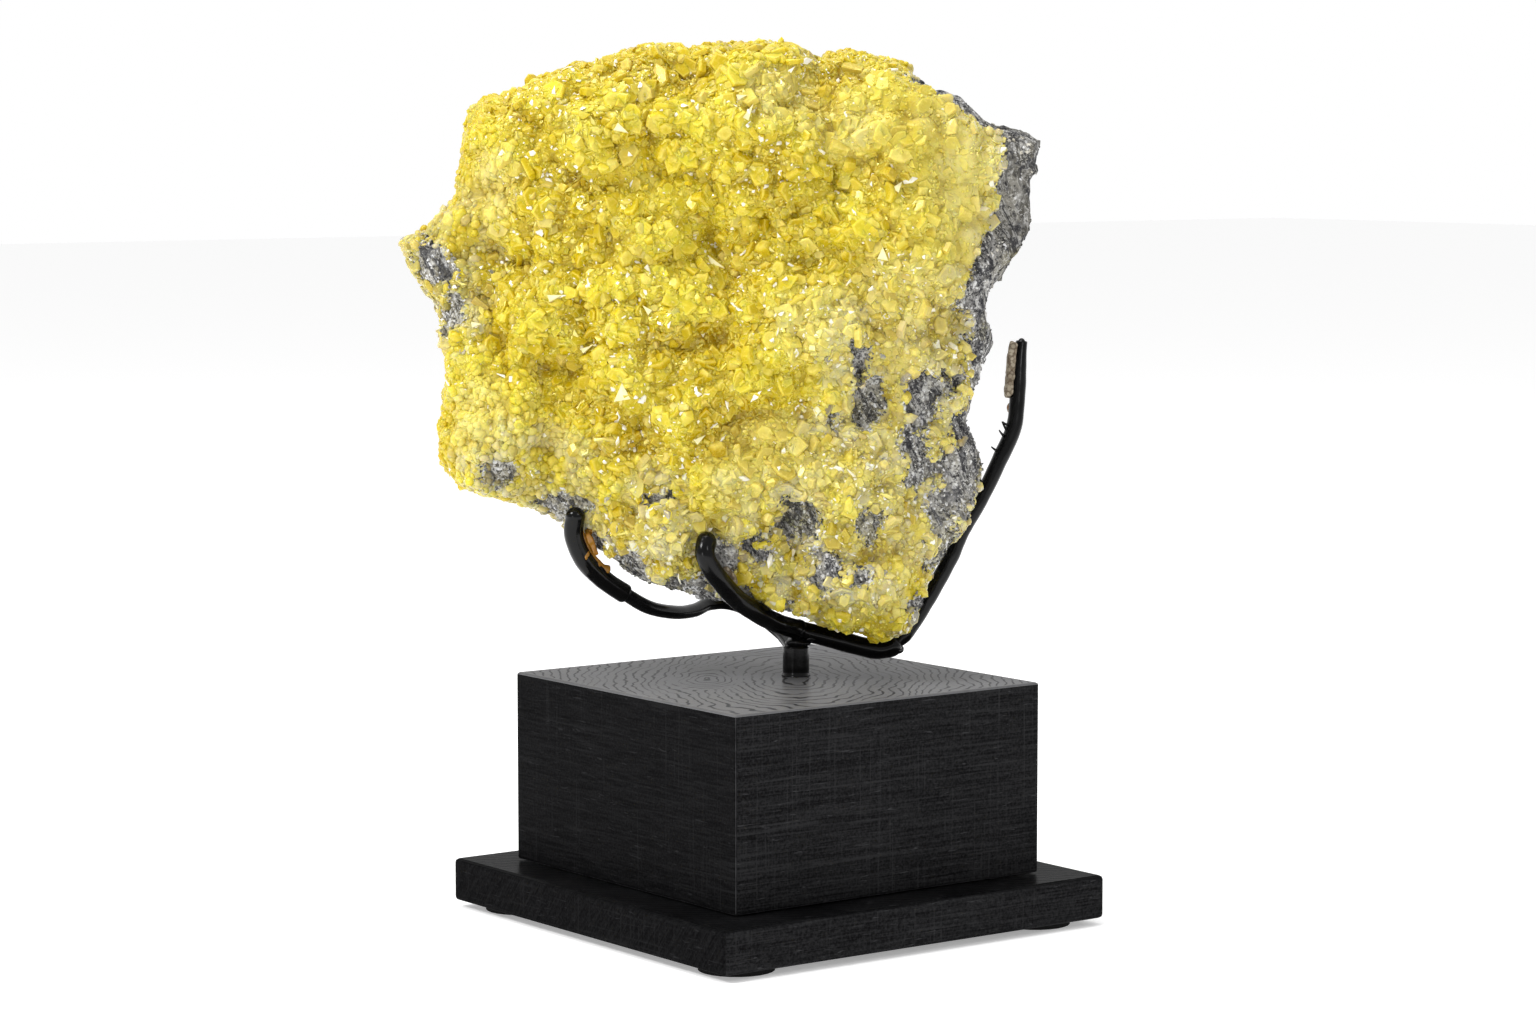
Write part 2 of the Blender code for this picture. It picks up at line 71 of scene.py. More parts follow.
# Studio. Lamps: name, place behind, to the right of and above their target, size and power
FLOOR_HALF = 6.0
FRONT_GLOW = 0.52
BACK_GLOW = 1.0
PAPER_GLOW = 0.33
LAMP_TARGET = 0.17                 # height
LAMPS = [
    ("key", (-0.60, -0.95, 0.95), 0.40, 12.5),
    ("top", (-0.1, -0.1, 1.3), 0.7, 8.5),
    ("low_left", (-1.2, -0.7, 0.05), 0.25, 1.3),
    ("high_right", (-0.9, 0.6, 0.65), 0.25, 1.3),
]

# Wood, in metres. The block's rings have two middles, one by the post and one in a small swirl
RING_SHIFT = (-0.002, -0.003)      # from the post
SWIRL_SHIFT = (-0.025, 0.0113)
PLATE_GRAIN_SHIFT = (0.03, 0.05)   # from the plate's middle
RING_PITCH = 0.0027
SWIRL_PITCH = 0.0023
RING_BEND = 0.016                  # how far noise moves a ring
RING_MARGIN = 0.0022               # rings fade this near to an edge
SWIRL_EDGE = (0.013, 0.008)        # the swirl fades in between these distances from its middle
# width of the paler edge band: partly wear, partly a painted highlight
WEAR_AND_HIGHLIGHT_EDGE = 0.0005
FACE_DEPTH = 0.0006                # what lies this near to the top or the left side is on it
END_GRAIN_SLANT = 0.9
SIDE_GREYS = ((0.0036, 0.0036, 0.0040), (0.0250, 0.0250, 0.0262))
# greys of the block's top, lighter than the sides as a painted sheen
TOP_SHEEN_GREYS = ((0.022, 0.022, 0.023), (0.150, 0.150, 0.155))
DASH_GREY = (0.055, 0.055, 0.058)
EDGE_GREY = (0.07, 0.07, 0.073)
# DEEP_BLACK: darker end grain on the left, and painted shade on the plate's top
DEEP_BLACK = (0.0004, 0.0004, 0.0005)

# Rods, in the claw's frame, in millimetres
ROD_STEP = 0.8
ROD_RADIUS = 2.0
SLEEVE_RADIUS = 2.95
TAIL_RADIUS = 2.4
LONG_ROD = [
    (-26.4, -28.7, 116.0), (-26.8, -30.6, 112.6), (-25.2, -29.6, 108.6), (-22.5, -27.0, 104.4),
    (-17.8, -21.5, 98.4), (-12.4, -17.3, 94.1), (-6.0, -9.2, 89.6), (1.2, 0.0, 86.2),
    (12.0, 0.5, 83.4), (19.9, 1.5, 81.1), (25.2, 3.0, 80.0), (30.5, 5.5, 82.0),
    (35.5, 7.2, 87.6), (41.0, 8.5, 96.6), (46.6, 9.5, 106.9), (50.5, 10.5, 115.6),
    (56.9, 12.5, 126.6), (61.8, 14.5, 136.6), (65.9, 17.0, 145.4), (67.1, 19.0, 153.1),
    (67.9, 22.0, 164.2), (68.7, 24.0, 171.6),
]
LONG_ROD_SEAM = 7                  # point at the post, where two sleeves meet
LONG_ROD_BEND = 11                 # point at which the bar's sleeve ends
LEFT_ROD = [
    (-0.8, 4.6, 80.0), (-4.5, 15.0, 83.4), (-12.0, 25.0, 88.0), (-20.0, 29.0, 90.8),
    (-26.5, 26.0, 91.0), (-30.9, 19.0, 89.9), (-36.5, 10.0, 90.4), (-44.1, 0.0, 93.1),
    (-51.3, -8.0, 98.3), (-57.6, -14.0, 103.5), (-62.7, -18.5, 109.6), (-65.5, -21.5, 117.1),
    (-65.0, -22.9, 122.7),
]
LEFT_SLEEVE_FROM = 8
# Pads: name, centre, direction of the arm, direction of the stone, thickness, width and length
PADS = [
    ("front_pad", (-20.0, -20.9, 104.0), (-0.45, -0.5, 0.74), (0.07, 0.82, 0.57), (1.8, 4.5, 9.0)),
    ("left_pad", (-60.5, -19.8, 114.9), (-0.33, -0.36, 0.87), (0.86, 0.04, 0.45), (1.7, 4.5, 8.0)),
    ("back_pad", (65.3, 21.8, 163.2), (0.10, 0.25, 0.97), (-1.0, 0.0, 0.1), (2.6, 6.4, 17.0)),
]
# Weld lumps and glue beads: centre, half-sizes
WELD_LUMPS = [
    ((0.6, 0.6, 82.6), (3.4, 3.6, 1.9)), ((4.6, 0.4, 83.6), (2.4, 2.6, 1.3)),
    ((29.8, 4.9, 79.9), (2.6, 2.8, 1.6)), ((0.2, 3.6, 80.6), (2.6, 2.8, 2.0)),
]
GLUE_BEADS = [
    ((-62.2, -20.4, 111.2), (1.3, 1.6, 1.8)), ((-59.0, -17.0, 107.6), (1.3, 1.5, 1.6)),
    ((-57.2, -14.8, 104.8), (1.1, 1.3, 1.2)), ((-60.8, -19.0, 118.4), (1.0, 1.5, 1.4)),
    ((65.4, 20.6, 151.6), (1.2, 1.8, 1.8)),
]
GLUE_FROM_TO = [(-65.2, -22.0, 118.5), (-57.6, -14.0, 103.5)]
GLUE_OFFSET = 2.7                  # from the arm's middle line
# Burrs: foot, direction and length
BURRS = [
    ((64.0, 15.2, 142.6), (-1.0, -0.4, 0.9), 2.6), ((64.6, 15.6, 144.2), (-0.9, 0.2, 1.3), 3.0),
    ((65.4, 16.2, 146.4), (-1.2, -0.6, 0.4), 2.2), ((62.2, 14.2, 138.6), (-1.2, -0.2, 0.5), 2.4),
]

# Stone, in the claw's frame, in millimetres
HEART = (-19.0, 181.0)             # middle of the face
OUTLINE = [
    (74.0, 232.6), (61.6, 237.6), (33.7, 252.5), (15.0, 258.6), (6.1, 256.6), (-2.5, 260.4),
    (-22.3, 261.3), (-31.5, 258.6), (-44.5, 260.7), (-59.0, 256.0), (-67.3, 255.0), (-81.0, 247.7),
    (-92.6, 244.2), (-96.4, 237.0), (-100.3, 228.0), (-100.0, 216.0), (-108.4, 205.6),
    (-117.0, 203.4), (-112.0, 191.5), (-106.7, 185.2), (-105.6, 176.6), (-103.8, 169.0),
    (-104.4, 160.6), (-105.4, 154.0), (-106.0, 138.0), (-99.5, 130.5), (-88.0, 127.0),
    (-78.4, 123.5), (-71.3, 119.0), (-57.8, 109.0), (-38.9, 97.8), (-22.8, 94.0), (-12.6, 92.8),
    (-5.0, 92.0), (3.6, 89.9), (12.0, 88.3), (20.0, 86.4), (26.5, 84.6), (31.0, 83.6), (34.4, 85.4),
    (38.2, 93.0), (39.8, 102.5), (55.2, 129.5), (55.8, 136.0), (51.8, 149.0), (54.4, 160.0),
    (59.2, 173.5), (57.4, 182.5), (58.9, 189.4), (71.6, 206.3), (72.2, 220.0),
]
FRONT_DEPTH = 27.0
LEAST_BACK = 12.0
FRONT_EDGE = 4.0                   # exponent of the rounding towards the rim
BACK_EDGE = 4.5
CRUST_INSET = 0.9                  # rock's rim lies this far inside the outline
# Broken faces of the back: depth behind the heart, and how much they rise towards +x and +z
BACK_BREAKS = [
    (33.0, 0.04, 0.10), (41.0, 0.46, -0.10), (45.0, -0.42, 0.06), (47.0, 0.05, -0.44),
    (46.0, 0.10, 0.50), (58.0, 0.62, -0.52), (60.0, -0.52, 0.60), (62.0, -0.50, -0.50),
]
# Swellings (positive) and hollows (negative): x, z, radius, height
FRONT_FORMS = [
    (-78.0, 225.0, 24.0, 3.5), (-50.0, 236.0, 20.0, 3.0), (-12.0, 236.0, 17.0, 4.5),
    (9.0, 246.0, 10.0, -6.0), (12.0, 220.0, 12.0, -6.5), (29.0, 236.0, 16.0, 4.5),
    (31.0, 212.0, 14.0, 4.0), (-22.0, 200.0, 13.0, -6.0), (-4.0, 190.0, 15.0, 3.0),
    (-56.0, 205.0, 16.0, 3.0), (-88.0, 196.0, 13.0, -7.0), (-104.0, 194.0, 11.0, 4.0),
    (-45.0, 172.0, 15.0, 3.5), (-66.0, 165.0, 11.0, -4.0), (-90.0, 150.0, 20.0, 5.0),
    (-18.0, 165.0, 18.0, 4.5), (-30.0, 140.0, 22.0, 3.5), (10.0, 175.0, 14.0, 3.5),
    (22.0, 158.0, 12.0, -5.0), (40.0, 157.0, 14.0, -4.0), (36.0, 134.0, 12.0, -4.0),
    (22.0, 128.0, 12.0, 4.5), (-1.0, 118.0, 11.0, -4.5), (14.0, 102.0, 12.0, 3.0),
    (-52.0, 122.0, 14.0, 3.0), (66.0, 215.0, 20.0, -15.0), (60.0, 245.0, 16.0, -8.0),
    (56.0, 170.0, 16.0, -7.0), (46.0, 190.0, 16.0, 3.5), (48.0, 136.0, 12.0, -6.0),
]
BACK_FORMS = [
    (-80.0, 205.0, 20.0, -4.0), (-30.0, 230.0, 22.0, 3.0), (30.0, 205.0, 20.0, 3.0),
    (-50.0, 165.0, 18.0, 3.5), (5.0, 160.0, 18.0, -4.0), (-10.0, 120.0, 16.0, -3.0),
]
# Zones seen from the front: x, z, half-width, half-height
BARE_ZONES = [
    (17.5, 170, 3, 7), (20.6, 156, 5, 6.5), (36.5, 157, 6, 9), (34.5, 138, 5.8, 8.5),
    (50, 142, 6.5, 11), (46, 128, 6.5, 12), (43, 114, 5.5, 9), (22.5, 121, 4, 5), (-1, 122, 8, 8),
    (37, 94, 3.5, 7), (19, 104, 3, 4), (44, 164, 3, 5), (-86, 136, 2.4, 4), (8, 108, 5, 5),
    (-12, 112, 4, 6), (-69, 126, 8, 5.5), (-41, 129, 3, 2), (-108, 197, 6, 7), (-101, 183, 4, 6),
    (-22, 108, 4.5, 6), (69, 219, 6.5, 19), (62, 198, 6, 8), (55, 185, 6, 8), (54, 171, 4.5, 8),
    (-60, 112, 6, 6), (-50, 106, 8, 6.5), (-40, 100.5, 8, 6.5), (-30, 97.5, 8, 6),
    (-18, 95, 8, 5.5), (-7, 93, 7, 4.5), (11, 150, 1.8, 4),
]
# Golden places of the crust: partly its own deeper tone, partly painted shade in the hollows there
GOLDEN_ZONES = [
    (-1, 219, 12, 14), (-19, 198, 12, 10), (26, 224, 6, 5), (-52, 147, 11, 12), (-20, 150, 11, 8),
    (-37, 172, 12, 7), (9, 243, 6, 10), (-78, 236, 8, 6), (-45, 252, 14, 6), (14, 197, 7, 7),
]
# Paler places of the crust: partly its own paler tone, partly painted light on lumps that catch the
# lamps
PALE_ZONES = [
    (-40, 221, 9, 8), (7, 220, 9, 9), (-28, 206, 9, 12), (7, 199, 9, 9), (-87, 198, 8, 7),
    (30, 187, 8, 7), (7, 163, 8, 8), (18, 158, 6, 6), (-75, 232, 8, 6), (42, 221, 8, 16),
]
CREAM_ZONES = [
    (-5, 246, 12, 8), (-17, 134, 9, 11), (52, 222, 12, 26), (10, 180, 16, 12), (-4, 134, 16, 8),
    (14, 236, 10, 8), (36, 186, 12, 12), (-36, 118, 16, 6), (30, 176, 10, 8), (-92, 150, 8, 14),
    (-88, 220, 7, 10), (16, 104, 14, 9), (57, 170, 6, 24), (28, 190, 12, 10), (-6, 146, 12, 8),
    (50, 240, 14, 8), (30, 146, 20, 32),
]
DIRTY_ZONES = [
    (-64, 234, 6, 8), (-76, 160, 4, 6), (-103, 196, 9, 16), (-70, 132, 12, 9), (0, 112, 14, 9),
    (30, 142, 12, 26), (5, 239, 5, 5), (46, 166, 10, 24), (-24, 106, 12, 10), (20, 120, 12, 8),
    (4, 256, 3.5, 6), (-6, 249, 3, 2.5),
]
# Places where rock and crystals are mixed
MIXED_ZONES = [(38, 142, 17, 30), (2, 114, 16, 11), (-80, 134, 14, 9), (-104, 196, 9, 14),
               (-30, 106, 16, 7), (64, 214, 8, 20), (58, 178, 7, 14), (30, 92, 10, 8)]
SPECKLED_ZONES = [(-105, 192, 12, 14), (-70, 124, 14, 6), (-88, 140, 7, 12)]
WAXY_ZONES = [(40, 238, 30, 18), (44, 215, 16, 24)]
GRAINY_ZONES = [(-94, 152, 17, 30), (-96, 218, 9, 24), (-104, 198, 10, 12), (-76, 134, 24, 17)]
BACK_CRUST_ZONES = [(-70, 205, 12, 9), (0, 150, 9, 14), (-30, 120, 14, 6), (20, 225, 14, 8)]
HALO_ZONES = [(x, z, wide + 7, high + 8) for x, z, wide, high in BARE_ZONES + MIXED_ZONES[:5]]
CRUST_BACK = 8.0                   # crystals reach this far round the rim, in y
# The broken band down the right: heights, and the x that it starts from
BAND_EDGE = [(120, 90), (150, 64), (165, 54), (177, 51.5), (186, 53), (195, 52.5), (205, 55.5),
             (215, 60), (231, 61), (240, 60)]
STRIP_WIDTH = 3.4                  # of bare rock along the outline, on the right
UNDER_WIDTH = 3.0                  # and under the lower left
# Turns slanting streaks of the marl upright and shortens them
SLANT = np.array([[0.90, 0.0, 0.13], [0.0, 1.0, 0.0], [-0.44, 0.0, 0.27]])
# Lumps of the crust: size, height, seed, how far a waxy place calms them, and how deep the
# painted golden shade in the creases between them is
LUMPS = [(22.0, 6.5, 78, 0.3, 0.5), (11.0, 4.2, 80, 0.0, 1.0), (6.0, 2.2, 84, 0.1, 0.85),
         (3.4, 1.0, 88, 0.5, 0.5)]

# Colours of the stone
LEMON = np.array([0.56, 0.415, 0.003])
# PALE: the crust's paler tone, also the painted light on the tops of lumps
PALE = np.array([0.72, 0.600, 0.040])
# GOLDEN: the crust's deeper tone, also the colour of painted shade in hollows, creases and crystal
# roots
GOLDEN = np.array([0.43, 0.285, 0.001])
# colour of the painted shade deep in creases and hollows
DEEP_SHADE = np.array([0.30, 0.175, 0.001])
CREAM = np.array([0.74, 0.66, 0.29])
# pale of the painted highlights on crystal rims, crust seams, glints and plates, and of the frost
RIM_HIGHLIGHT_AND_FROST = np.array([0.84, 0.74, 0.18])
# white of the painted glints and highlight plates
HIGHLIGHT_WHITE = np.array([0.96, 0.95, 0.90])
STAINED = np.array([0.28, 0.24, 0.07])
HALO = np.array([0.54, 0.50, 0.33])
SLATE = np.array([0.045, 0.045, 0.054])
ASH = np.array([0.20, 0.197, 0.195])
CHALK = np.array([0.68, 0.67, 0.64])
BROWN = np.array([0.24, 0.215, 0.14])
DUST = np.array([0.50, 0.48, 0.42])
MILKY = np.array([0.80, 0.765, 0.60])

# Kinds of crystal: sides, then heights and radii of its rings. A pair of numbers for the sides,
# the last radius or the inner radius is a range
KINDS = {
    "flake": dict(sides=(5, 8), heights=(-0.9, 0.1, 0.40), radii=(0.9, 1.0, 0.86),
                  inner=(0.62, 0.74), uneven=0.26, peak=0.06),
    "block": dict(sides=6, heights=(-0.8, 0.35, 0.8), radii=(0.85, 1.0, (0.55, 0.75))),
    "pyramid": dict(sides=6, heights=(-0.9, 0.0, 0.85), radii=(0.5, 1.0, (0.22, 0.4)),
                    uneven=0.15, peak=0.08, chamfer=0.16),
    "tablet": dict(sides=(3, 7), heights=(-0.6, 0.3, 0.5), radii=(0.9, 1.0, 0.86), uneven=0.24,
                   peak=0.0),
    "grain": dict(sides=5, heights=(-0.5, 0.8), radii=(1.3, (0.45, 0.65)), uneven=0.2),
    "plate": dict(sides=3, heights=(-1.8, 0.5, 0.7), radii=(0.8, 1.0, 0.93), uneven=0.1,
                  peak=0.0),
}
# Sorts of crystals: gap between sites, sizes, trials, distance kept from the rods, lean, share of
# the height sunk, meshes, thickness, painted pale highlight on the rim, and how frosted in the
# halos
CRYSTAL_SORTS = {
    "large_flakes": dict(gap=3.7, sizes=(1.5, 3.8), trials=40000, clear=6.5,
                         lean=0.27, sunk=0.30, parts=1, flat=(0.34, 0.62), rim=0.40, frosted=0.0),
    "steep_crystals": dict(gap=6.0, sizes=(1.4, 3.0), trials=9000, clear=7.0,
                           lean=0.45, sunk=0.35, parts=1, flat=(0.55, 0.9), rim=0.6, frosted=0.0),
    "middle_flakes": dict(gap=2.3, sizes=(0.8, 1.8), trials=60000, clear=5.5,
                          lean=0.34, sunk=0.2, parts=2, flat=(0.45, 0.75), rim=0.40, frosted=0.5),
    "small_crystals": dict(gap=1.7, sizes=(0.38, 0.85), trials=60000, clear=4.4,
                           lean=0.5, sunk=0.0, parts=2, flat=(0.6, 1.0), rim=0.6, frosted=1.0),
    "popcorn_beads": dict(gap=2.6, sizes=(1.0, 2.2), trials=26000, clear=5.5,
                          lean=0.30, sunk=0.42, parts=2, flat=(0.6, 0.9), rim=0.25, frosted=0.0),
}
GRAIN_SORTS = {
    "marl_grains": dict(gap=1.1, sizes=(0.32, 0.80), trials=60000, clear=4.6,
                        lean=0.6, sunk=0.2),
    "marl_lumps": dict(gap=4.2, sizes=(0.7, 1.6), trials=20000, clear=4.6, lean=0.6,
                       sunk=0.2),
}
FEW_BIG = 1.6                      # exponent that makes large crystals rare
FEW_BIG_GRAINS = 2.0
GRAIN_DEPTHS = (0.35, 0.8, 1.8, 6.0)    # of the rock's colour
GRAIN_CHANCES = (0.30, 0.20, 0.20, 0.30)
FLAKE_TOP = 0.42                   # height of a flake's face, as a share of its thickness
# painted shade: how much golden shade a crystal takes at its root
ROOT_SHADE = 0.35                # how golden a crystal is at its root
# white chips painted as glints of the lamps
GLINTS = 3000
PLATE_PROUD = 1.3                  # bright plates stand this far out of the rock
PLATE_THICK = 1.2
# Bright plates, painted near white as highlights: x, z, length, width, turn in degrees, lean to
# the right and lean up
BRIGHT_PLATES = [
    (-71, 187, 5.0, 2.6, 20, 0.1, 0.3), (-51, 236, 5.5, 3.0, -35, -0.2, 0.2),
    (-14, 241, 6.0, 2.4, 65, 0.2, 0.1), (-24, 197, 7.5, 3.0, -28, 0.0, 0.35),
    (-51, 160, 6.5, 6.0, 95, -0.1, 0.1), (-16, 245, 3.6, 2.0, 10, 0.1, 0.4),
    (-28, 146, 4.5, 2.2, 40, 0.2, 0.2), (25, 200, 5.0, 4.0, 80, -0.1, 0.2),
    (29, 219, 4.5, 3.0, 55, 0.1, 0.3), (-94, 179, 3.6, 2.2, 0, 0.1, 0.3),
    (-43, 184, 4.0, 2.4, 130, 0.0, 0.2), (-62, 172, 5.0, 1.8, 25, 0.1, 0.3),
]

ROCK_CUTS = (168, 50, 168)
RELIEF_CLEAR = (3.6, 9.0)          # relief dies out between these distances from a rod's line


def claw_to_row(points):
    """Turn claw millimetres about the post's axis by the claw's turn, and scale to metres."""
    x, y, z = np.asarray(points, float).T * MM
    c, s = math.cos(CLAW_TURN), math.sin(CLAW_TURN)
    return np.column_stack([POST_CENTRE[0] + c * x - s * y, POST_CENTRE[1] + s * x + c * y, z])


# --- meshes ---------------------------------------------------------------------------------

def add_piece(name, points, faces, materials, stands_for=(), smooth=True, face_kinds=None,
              colours=None):
    """Object from arrays of points and faces, riding on the stand."""
    faces = np.asarray(faces, np.int32)
    mesh = bpy.data.meshes.new(name)
    mesh.vertices.add(len(points))
    mesh.vertices.foreach_set("co", np.asarray(points, np.float32).ravel())
    mesh.loops.add(faces.size)
    mesh.loops.foreach_set("vertex_index", faces.ravel())
    mesh.polygons.add(len(faces))
    mesh.polygons.foreach_set("loop_start", np.arange(len(faces), dtype=np.int32) * faces.shape[1])
    mesh.polygons.foreach_set("use_smooth", np.full(len(faces), smooth))
    for material in materials:
        mesh.materials.append(material)
    if face_kinds is not None:
        mesh.polygons.foreach_set("material_index", np.asarray(face_kinds, np.int32))
    if colours is not None:
        shade = mesh.attributes.new("shade", "FLOAT_COLOR", "POINT")
        rgba = np.column_stack([colours, np.ones(len(colours))]).astype(np.float32)
        shade.data.foreach_set("color", rgba.ravel())
    mesh.update(calc_edges=True)
    mesh.validate()
    piece = bpy.data.objects.new(name, mesh)
    bpy.context.scene.collection.objects.link(piece)
    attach(piece, "root")
    if stands_for:
        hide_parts(*stands_for)
    return piece


def cube_lattice(cuts):
    """Surface of a cube of half-side 1 cut into a grid, as points and outward quads.

    On each of the six sides the two free lattice numbers run over the grid, and points with the
    same three lattice numbers are one point, so the sides share their edges.
    """
    cuts = np.array(cuts)
    quads = []
    for axis in range(3):
        first, second = (axis + 1) % 3, (axis + 2) % 3
        i, j = np.meshgrid(np.arange(cuts[first]), np.arange(cuts[second]), indexing="ij")
        i, j = i.ravel(), j.ravel()
        for level in (0, cuts[axis]):
            corners = []
            for di, dj in ((0, 0), (1, 0), (1, 1), (0, 1)):
                spot = np.empty((len(i), 3), np.int64)
                spot[:, axis] = level
                spot[:, first] = i + di
                spot[:, second] = j + dj
                corners.append(spot)
            if level == 0:
                corners = corners[::-1]
            quads.append(np.stack(corners, axis=1))
    quads = np.vstack(quads)
    key = (quads[..., 0] * (cuts[1] + 1) + quads[..., 1]) * (cuts[2] + 1) + quads[..., 2]
    used, faces = np.unique(key.ravel(), return_inverse=True)
    spots = np.column_stack([used // ((cuts[1] + 1) * (cuts[2] + 1)),
                             used // (cuts[2] + 1) % (cuts[1] + 1), used % (cuts[2] + 1)])
    return spots * 2.0 / cuts - 1.0, faces.reshape(-1, 4)


def corner_normals(points, quads):
    """Unit normal at each point: the sum of its faces' cross products of diagonals."""
    across = points[quads[:, 2]] - points[quads[:, 0]]
    down = points[quads[:, 3]] - points[quads[:, 1]]
    face = np.cross(across, down)
    total = np.zeros_like(points)
    for k in range(4):
        np.add.at(total, quads[:, k], face)
    return total / np.linalg.norm(total, axis=1)[:, None]


def lattice_values(spot, seed):
    """Repeatable value in -1..1 for each whole-number place of a lattice."""
    key = spot[:, 0] * 73856093 ^ spot[:, 1] * 19349663 ^ spot[:, 2] * 83492791 ^ seed * 7919
    key = (key * 2654435761) & 0xFFFFFFFF
    key = ((key ^ key >> 15) * 2246822519) & 0xFFFFFFFF
    return (key ^ key >> 13) / 0xFFFFFFFF * 2 - 1


def lattice_noise(points, cell, seed):
    """Smooth noise in -1..1: random values on a cubic lattice, blended within each cell."""
    places = np.asarray(points) / cell
    corner = np.floor(places).astype(np.int64)
    part = places - corner
    part = part * part * (3 - 2 * part)
    total = np.zeros(len(places))
    for offset in np.ndindex(2, 2, 2):
        weight = np.prod(np.where(offset, part, 1 - part), axis=1)
        total += lattice_values(corner + offset, seed) * weight
    return total


def cell_domes(points, cell, seed):
    """Rounded domes in 0..1 packed side by side: one centre is jittered in each lattice cell, and
    the height is 1 - (d / 0.85 cell)^2 for the distance d to the nearest centre."""
    places = np.asarray(points) / cell
    corner = np.floor(places).astype(np.int64)
    least = np.full(len(places), 9.0)
    for offset in np.ndindex(3, 3, 3):
        spot = corner + np.array(offset) - 1
        jitter = np.column_stack([lattice_values(spot, seed + k) for k in range(3)])
        centre = spot + 0.5 + 0.42 * jitter
        least = np.minimum(least, np.sum((places - centre) ** 2, axis=1))
    return np.clip(1 - least / 0.85 ** 2, 0, 1)


def layered(points, seed, *layers):
    """Sum of smooth noises: each layer is a cell and a height, and has the next seed."""
    return sum(height * lattice_noise(points, cell, seed + number)
               for number, (cell, height) in enumerate(layers))


def blend(colour, towards, share):
    """Colours taken a share of the way towards others; there is one share for each colour."""
    return colour + (towards - colour) * np.reshape(share, (-1, 1))


def zone_weight(x, z, zones, soft=0.5):
    """Strength in 0..1 of the zones at a place: 1 inside each oval, falling to 0 past its edge."""
    total = np.zeros_like(x)
    for zone_x, zone_z, wide, high in zones:
        out = ((x - zone_x) / wide) ** 2 + ((z - zone_z) / high) ** 2
        total = np.maximum(total, np.clip((1 + soft - out) / (2 * soft), 0, 1))
    return total


def smooth_step(value, low, high):
    """0 below low, 1 above high, and 3t^2 - 2t^3 between them."""
    t = np.clip((value - low) / (high - low), 0, 1)
    return t * t * (3 - 2 * t)


# --- rods -----------------------------------------------------------------------------------

def smooth_path(points, step):
    """Even points along the Catmull-Rom curve through the given ones, in millimetres."""
    given = np.array(points, float)
    ends = np.vstack([2 * given[0] - given[1], given, 2 * given[-1] - given[-2]])
    t = np.linspace(0, 1, 24, endpoint=False)[:, None]
    dense = []
    for a, b, c, d in zip(ends[:-3], ends[1:-2], ends[2:-1], ends[3:]):
        dense.append(0.5 * (2 * b + (c - a) * t + (2 * a - 5 * b + 4 * c - d) * t ** 2
                            + (3 * b - a - 3 * c + d) * t ** 3))
    dense = np.vstack(dense + [given[-1:]])
    run = np.concatenate([[0], np.cumsum(np.linalg.norm(np.diff(dense, axis=0), axis=1))])
    even = np.linspace(0, run[-1], max(3, round(run[-1] / step) + 1))
    return np.column_stack([np.interp(even, run, dense[:, k]) for k in range(3)])


def nearest(path, place):
    """Index of the path's point nearest to a place."""
    return int(np.argmin(np.linalg.norm(path - np.array(place), axis=1)))


LONG_PATH = smooth_path(LONG_ROD, ROD_STEP)
LEFT_PATH = smooth_path(LEFT_ROD, ROD_STEP)
SEAM = nearest(LONG_PATH, LONG_ROD[LONG_ROD_SEAM])
BEND = nearest(LONG_PATH, LONG_ROD[LONG_ROD_BEND])
ROD_LINES = np.vstack([LONG_PATH[::3], LEFT_PATH[::3]])


def rod_distance(points):
    """Distance from each point to the nearest rod's line."""
    least = np.full(len(points), 1e9)
    for place in ROD_LINES:
        least = np.minimum(least, np.linalg.norm(points - place, axis=1))
    return least


def tube(path, radii, sides=24):
    """Closed tube: a circle of the given radius carried square to the path without twisting.

    Point (i, j) is path[i] + radii[i] (cos(2 pi j / sides) u[i] + sin(2 pi j / sides) v[i]), where
    u and v are carried along the path by removing their part along each new tangent.
    """
    tangents = np.gradient(path, axis=0)
    tangents /= np.linalg.norm(tangents, axis=1)[:, None]
    u = np.empty_like(path)
    start = np.array([0.31, -0.9, 0.3])
    for i, tangent in enumerate(tangents):
        start = start - tangent * (start @ tangent)
        start /= np.linalg.norm(start)
        u[i] = start
    v = np.cross(tangents, u)
    around = np.arange(sides) * 2 * math.pi / sides
    radii = np.broadcast_to(np.reshape(radii, (len(path), -1)), (len(path), sides))
    points = (path[:, None] + radii[..., None] * (np.cos(around)[:, None] * u[:, None]
                                                  + np.sin(around)[:, None] * v[:, None]))
    i, j = np.meshgrid(np.arange(len(path) - 1), np.arange(sides), indexing="ij")
    i, j = i.ravel(), j.ravel()
    after = (j + 1) % sides
    faces = np.column_stack([i * sides + j, i * sides + after, (i + 1) * sides + after,
                             (i + 1) * sides + j])
    first, last = len(path) * sides, len(path) * sides + 1
    j = np.arange(sides)
    after = (j + 1) % sides
    far = (len(path) - 1) * sides
    start_fan = np.column_stack([after, j, np.full(sides, first), np.full(sides, first)])
    end_fan = np.column_stack([far + j, far + after, np.full(sides, last), np.full(sides, last)])
    points = np.vstack([points.reshape(-1, 3), path[:1], path[-1:]])
    return points, faces, np.vstack([start_fan, end_fan])[:, :3]


def add_tube(name, path, radii, material, stands_for=(), sides=24):
    """Piece made of a tube, its quads split so that the fans at its ends can join them."""
    points, quads, fans = tube(path, radii, sides)
    triangles = np.vstack([quads[:, [0, 1, 2]], quads[:, [0, 2, 3]], fans])
    return add_piece(name, claw_to_row(points), triangles, [material], stands_for)


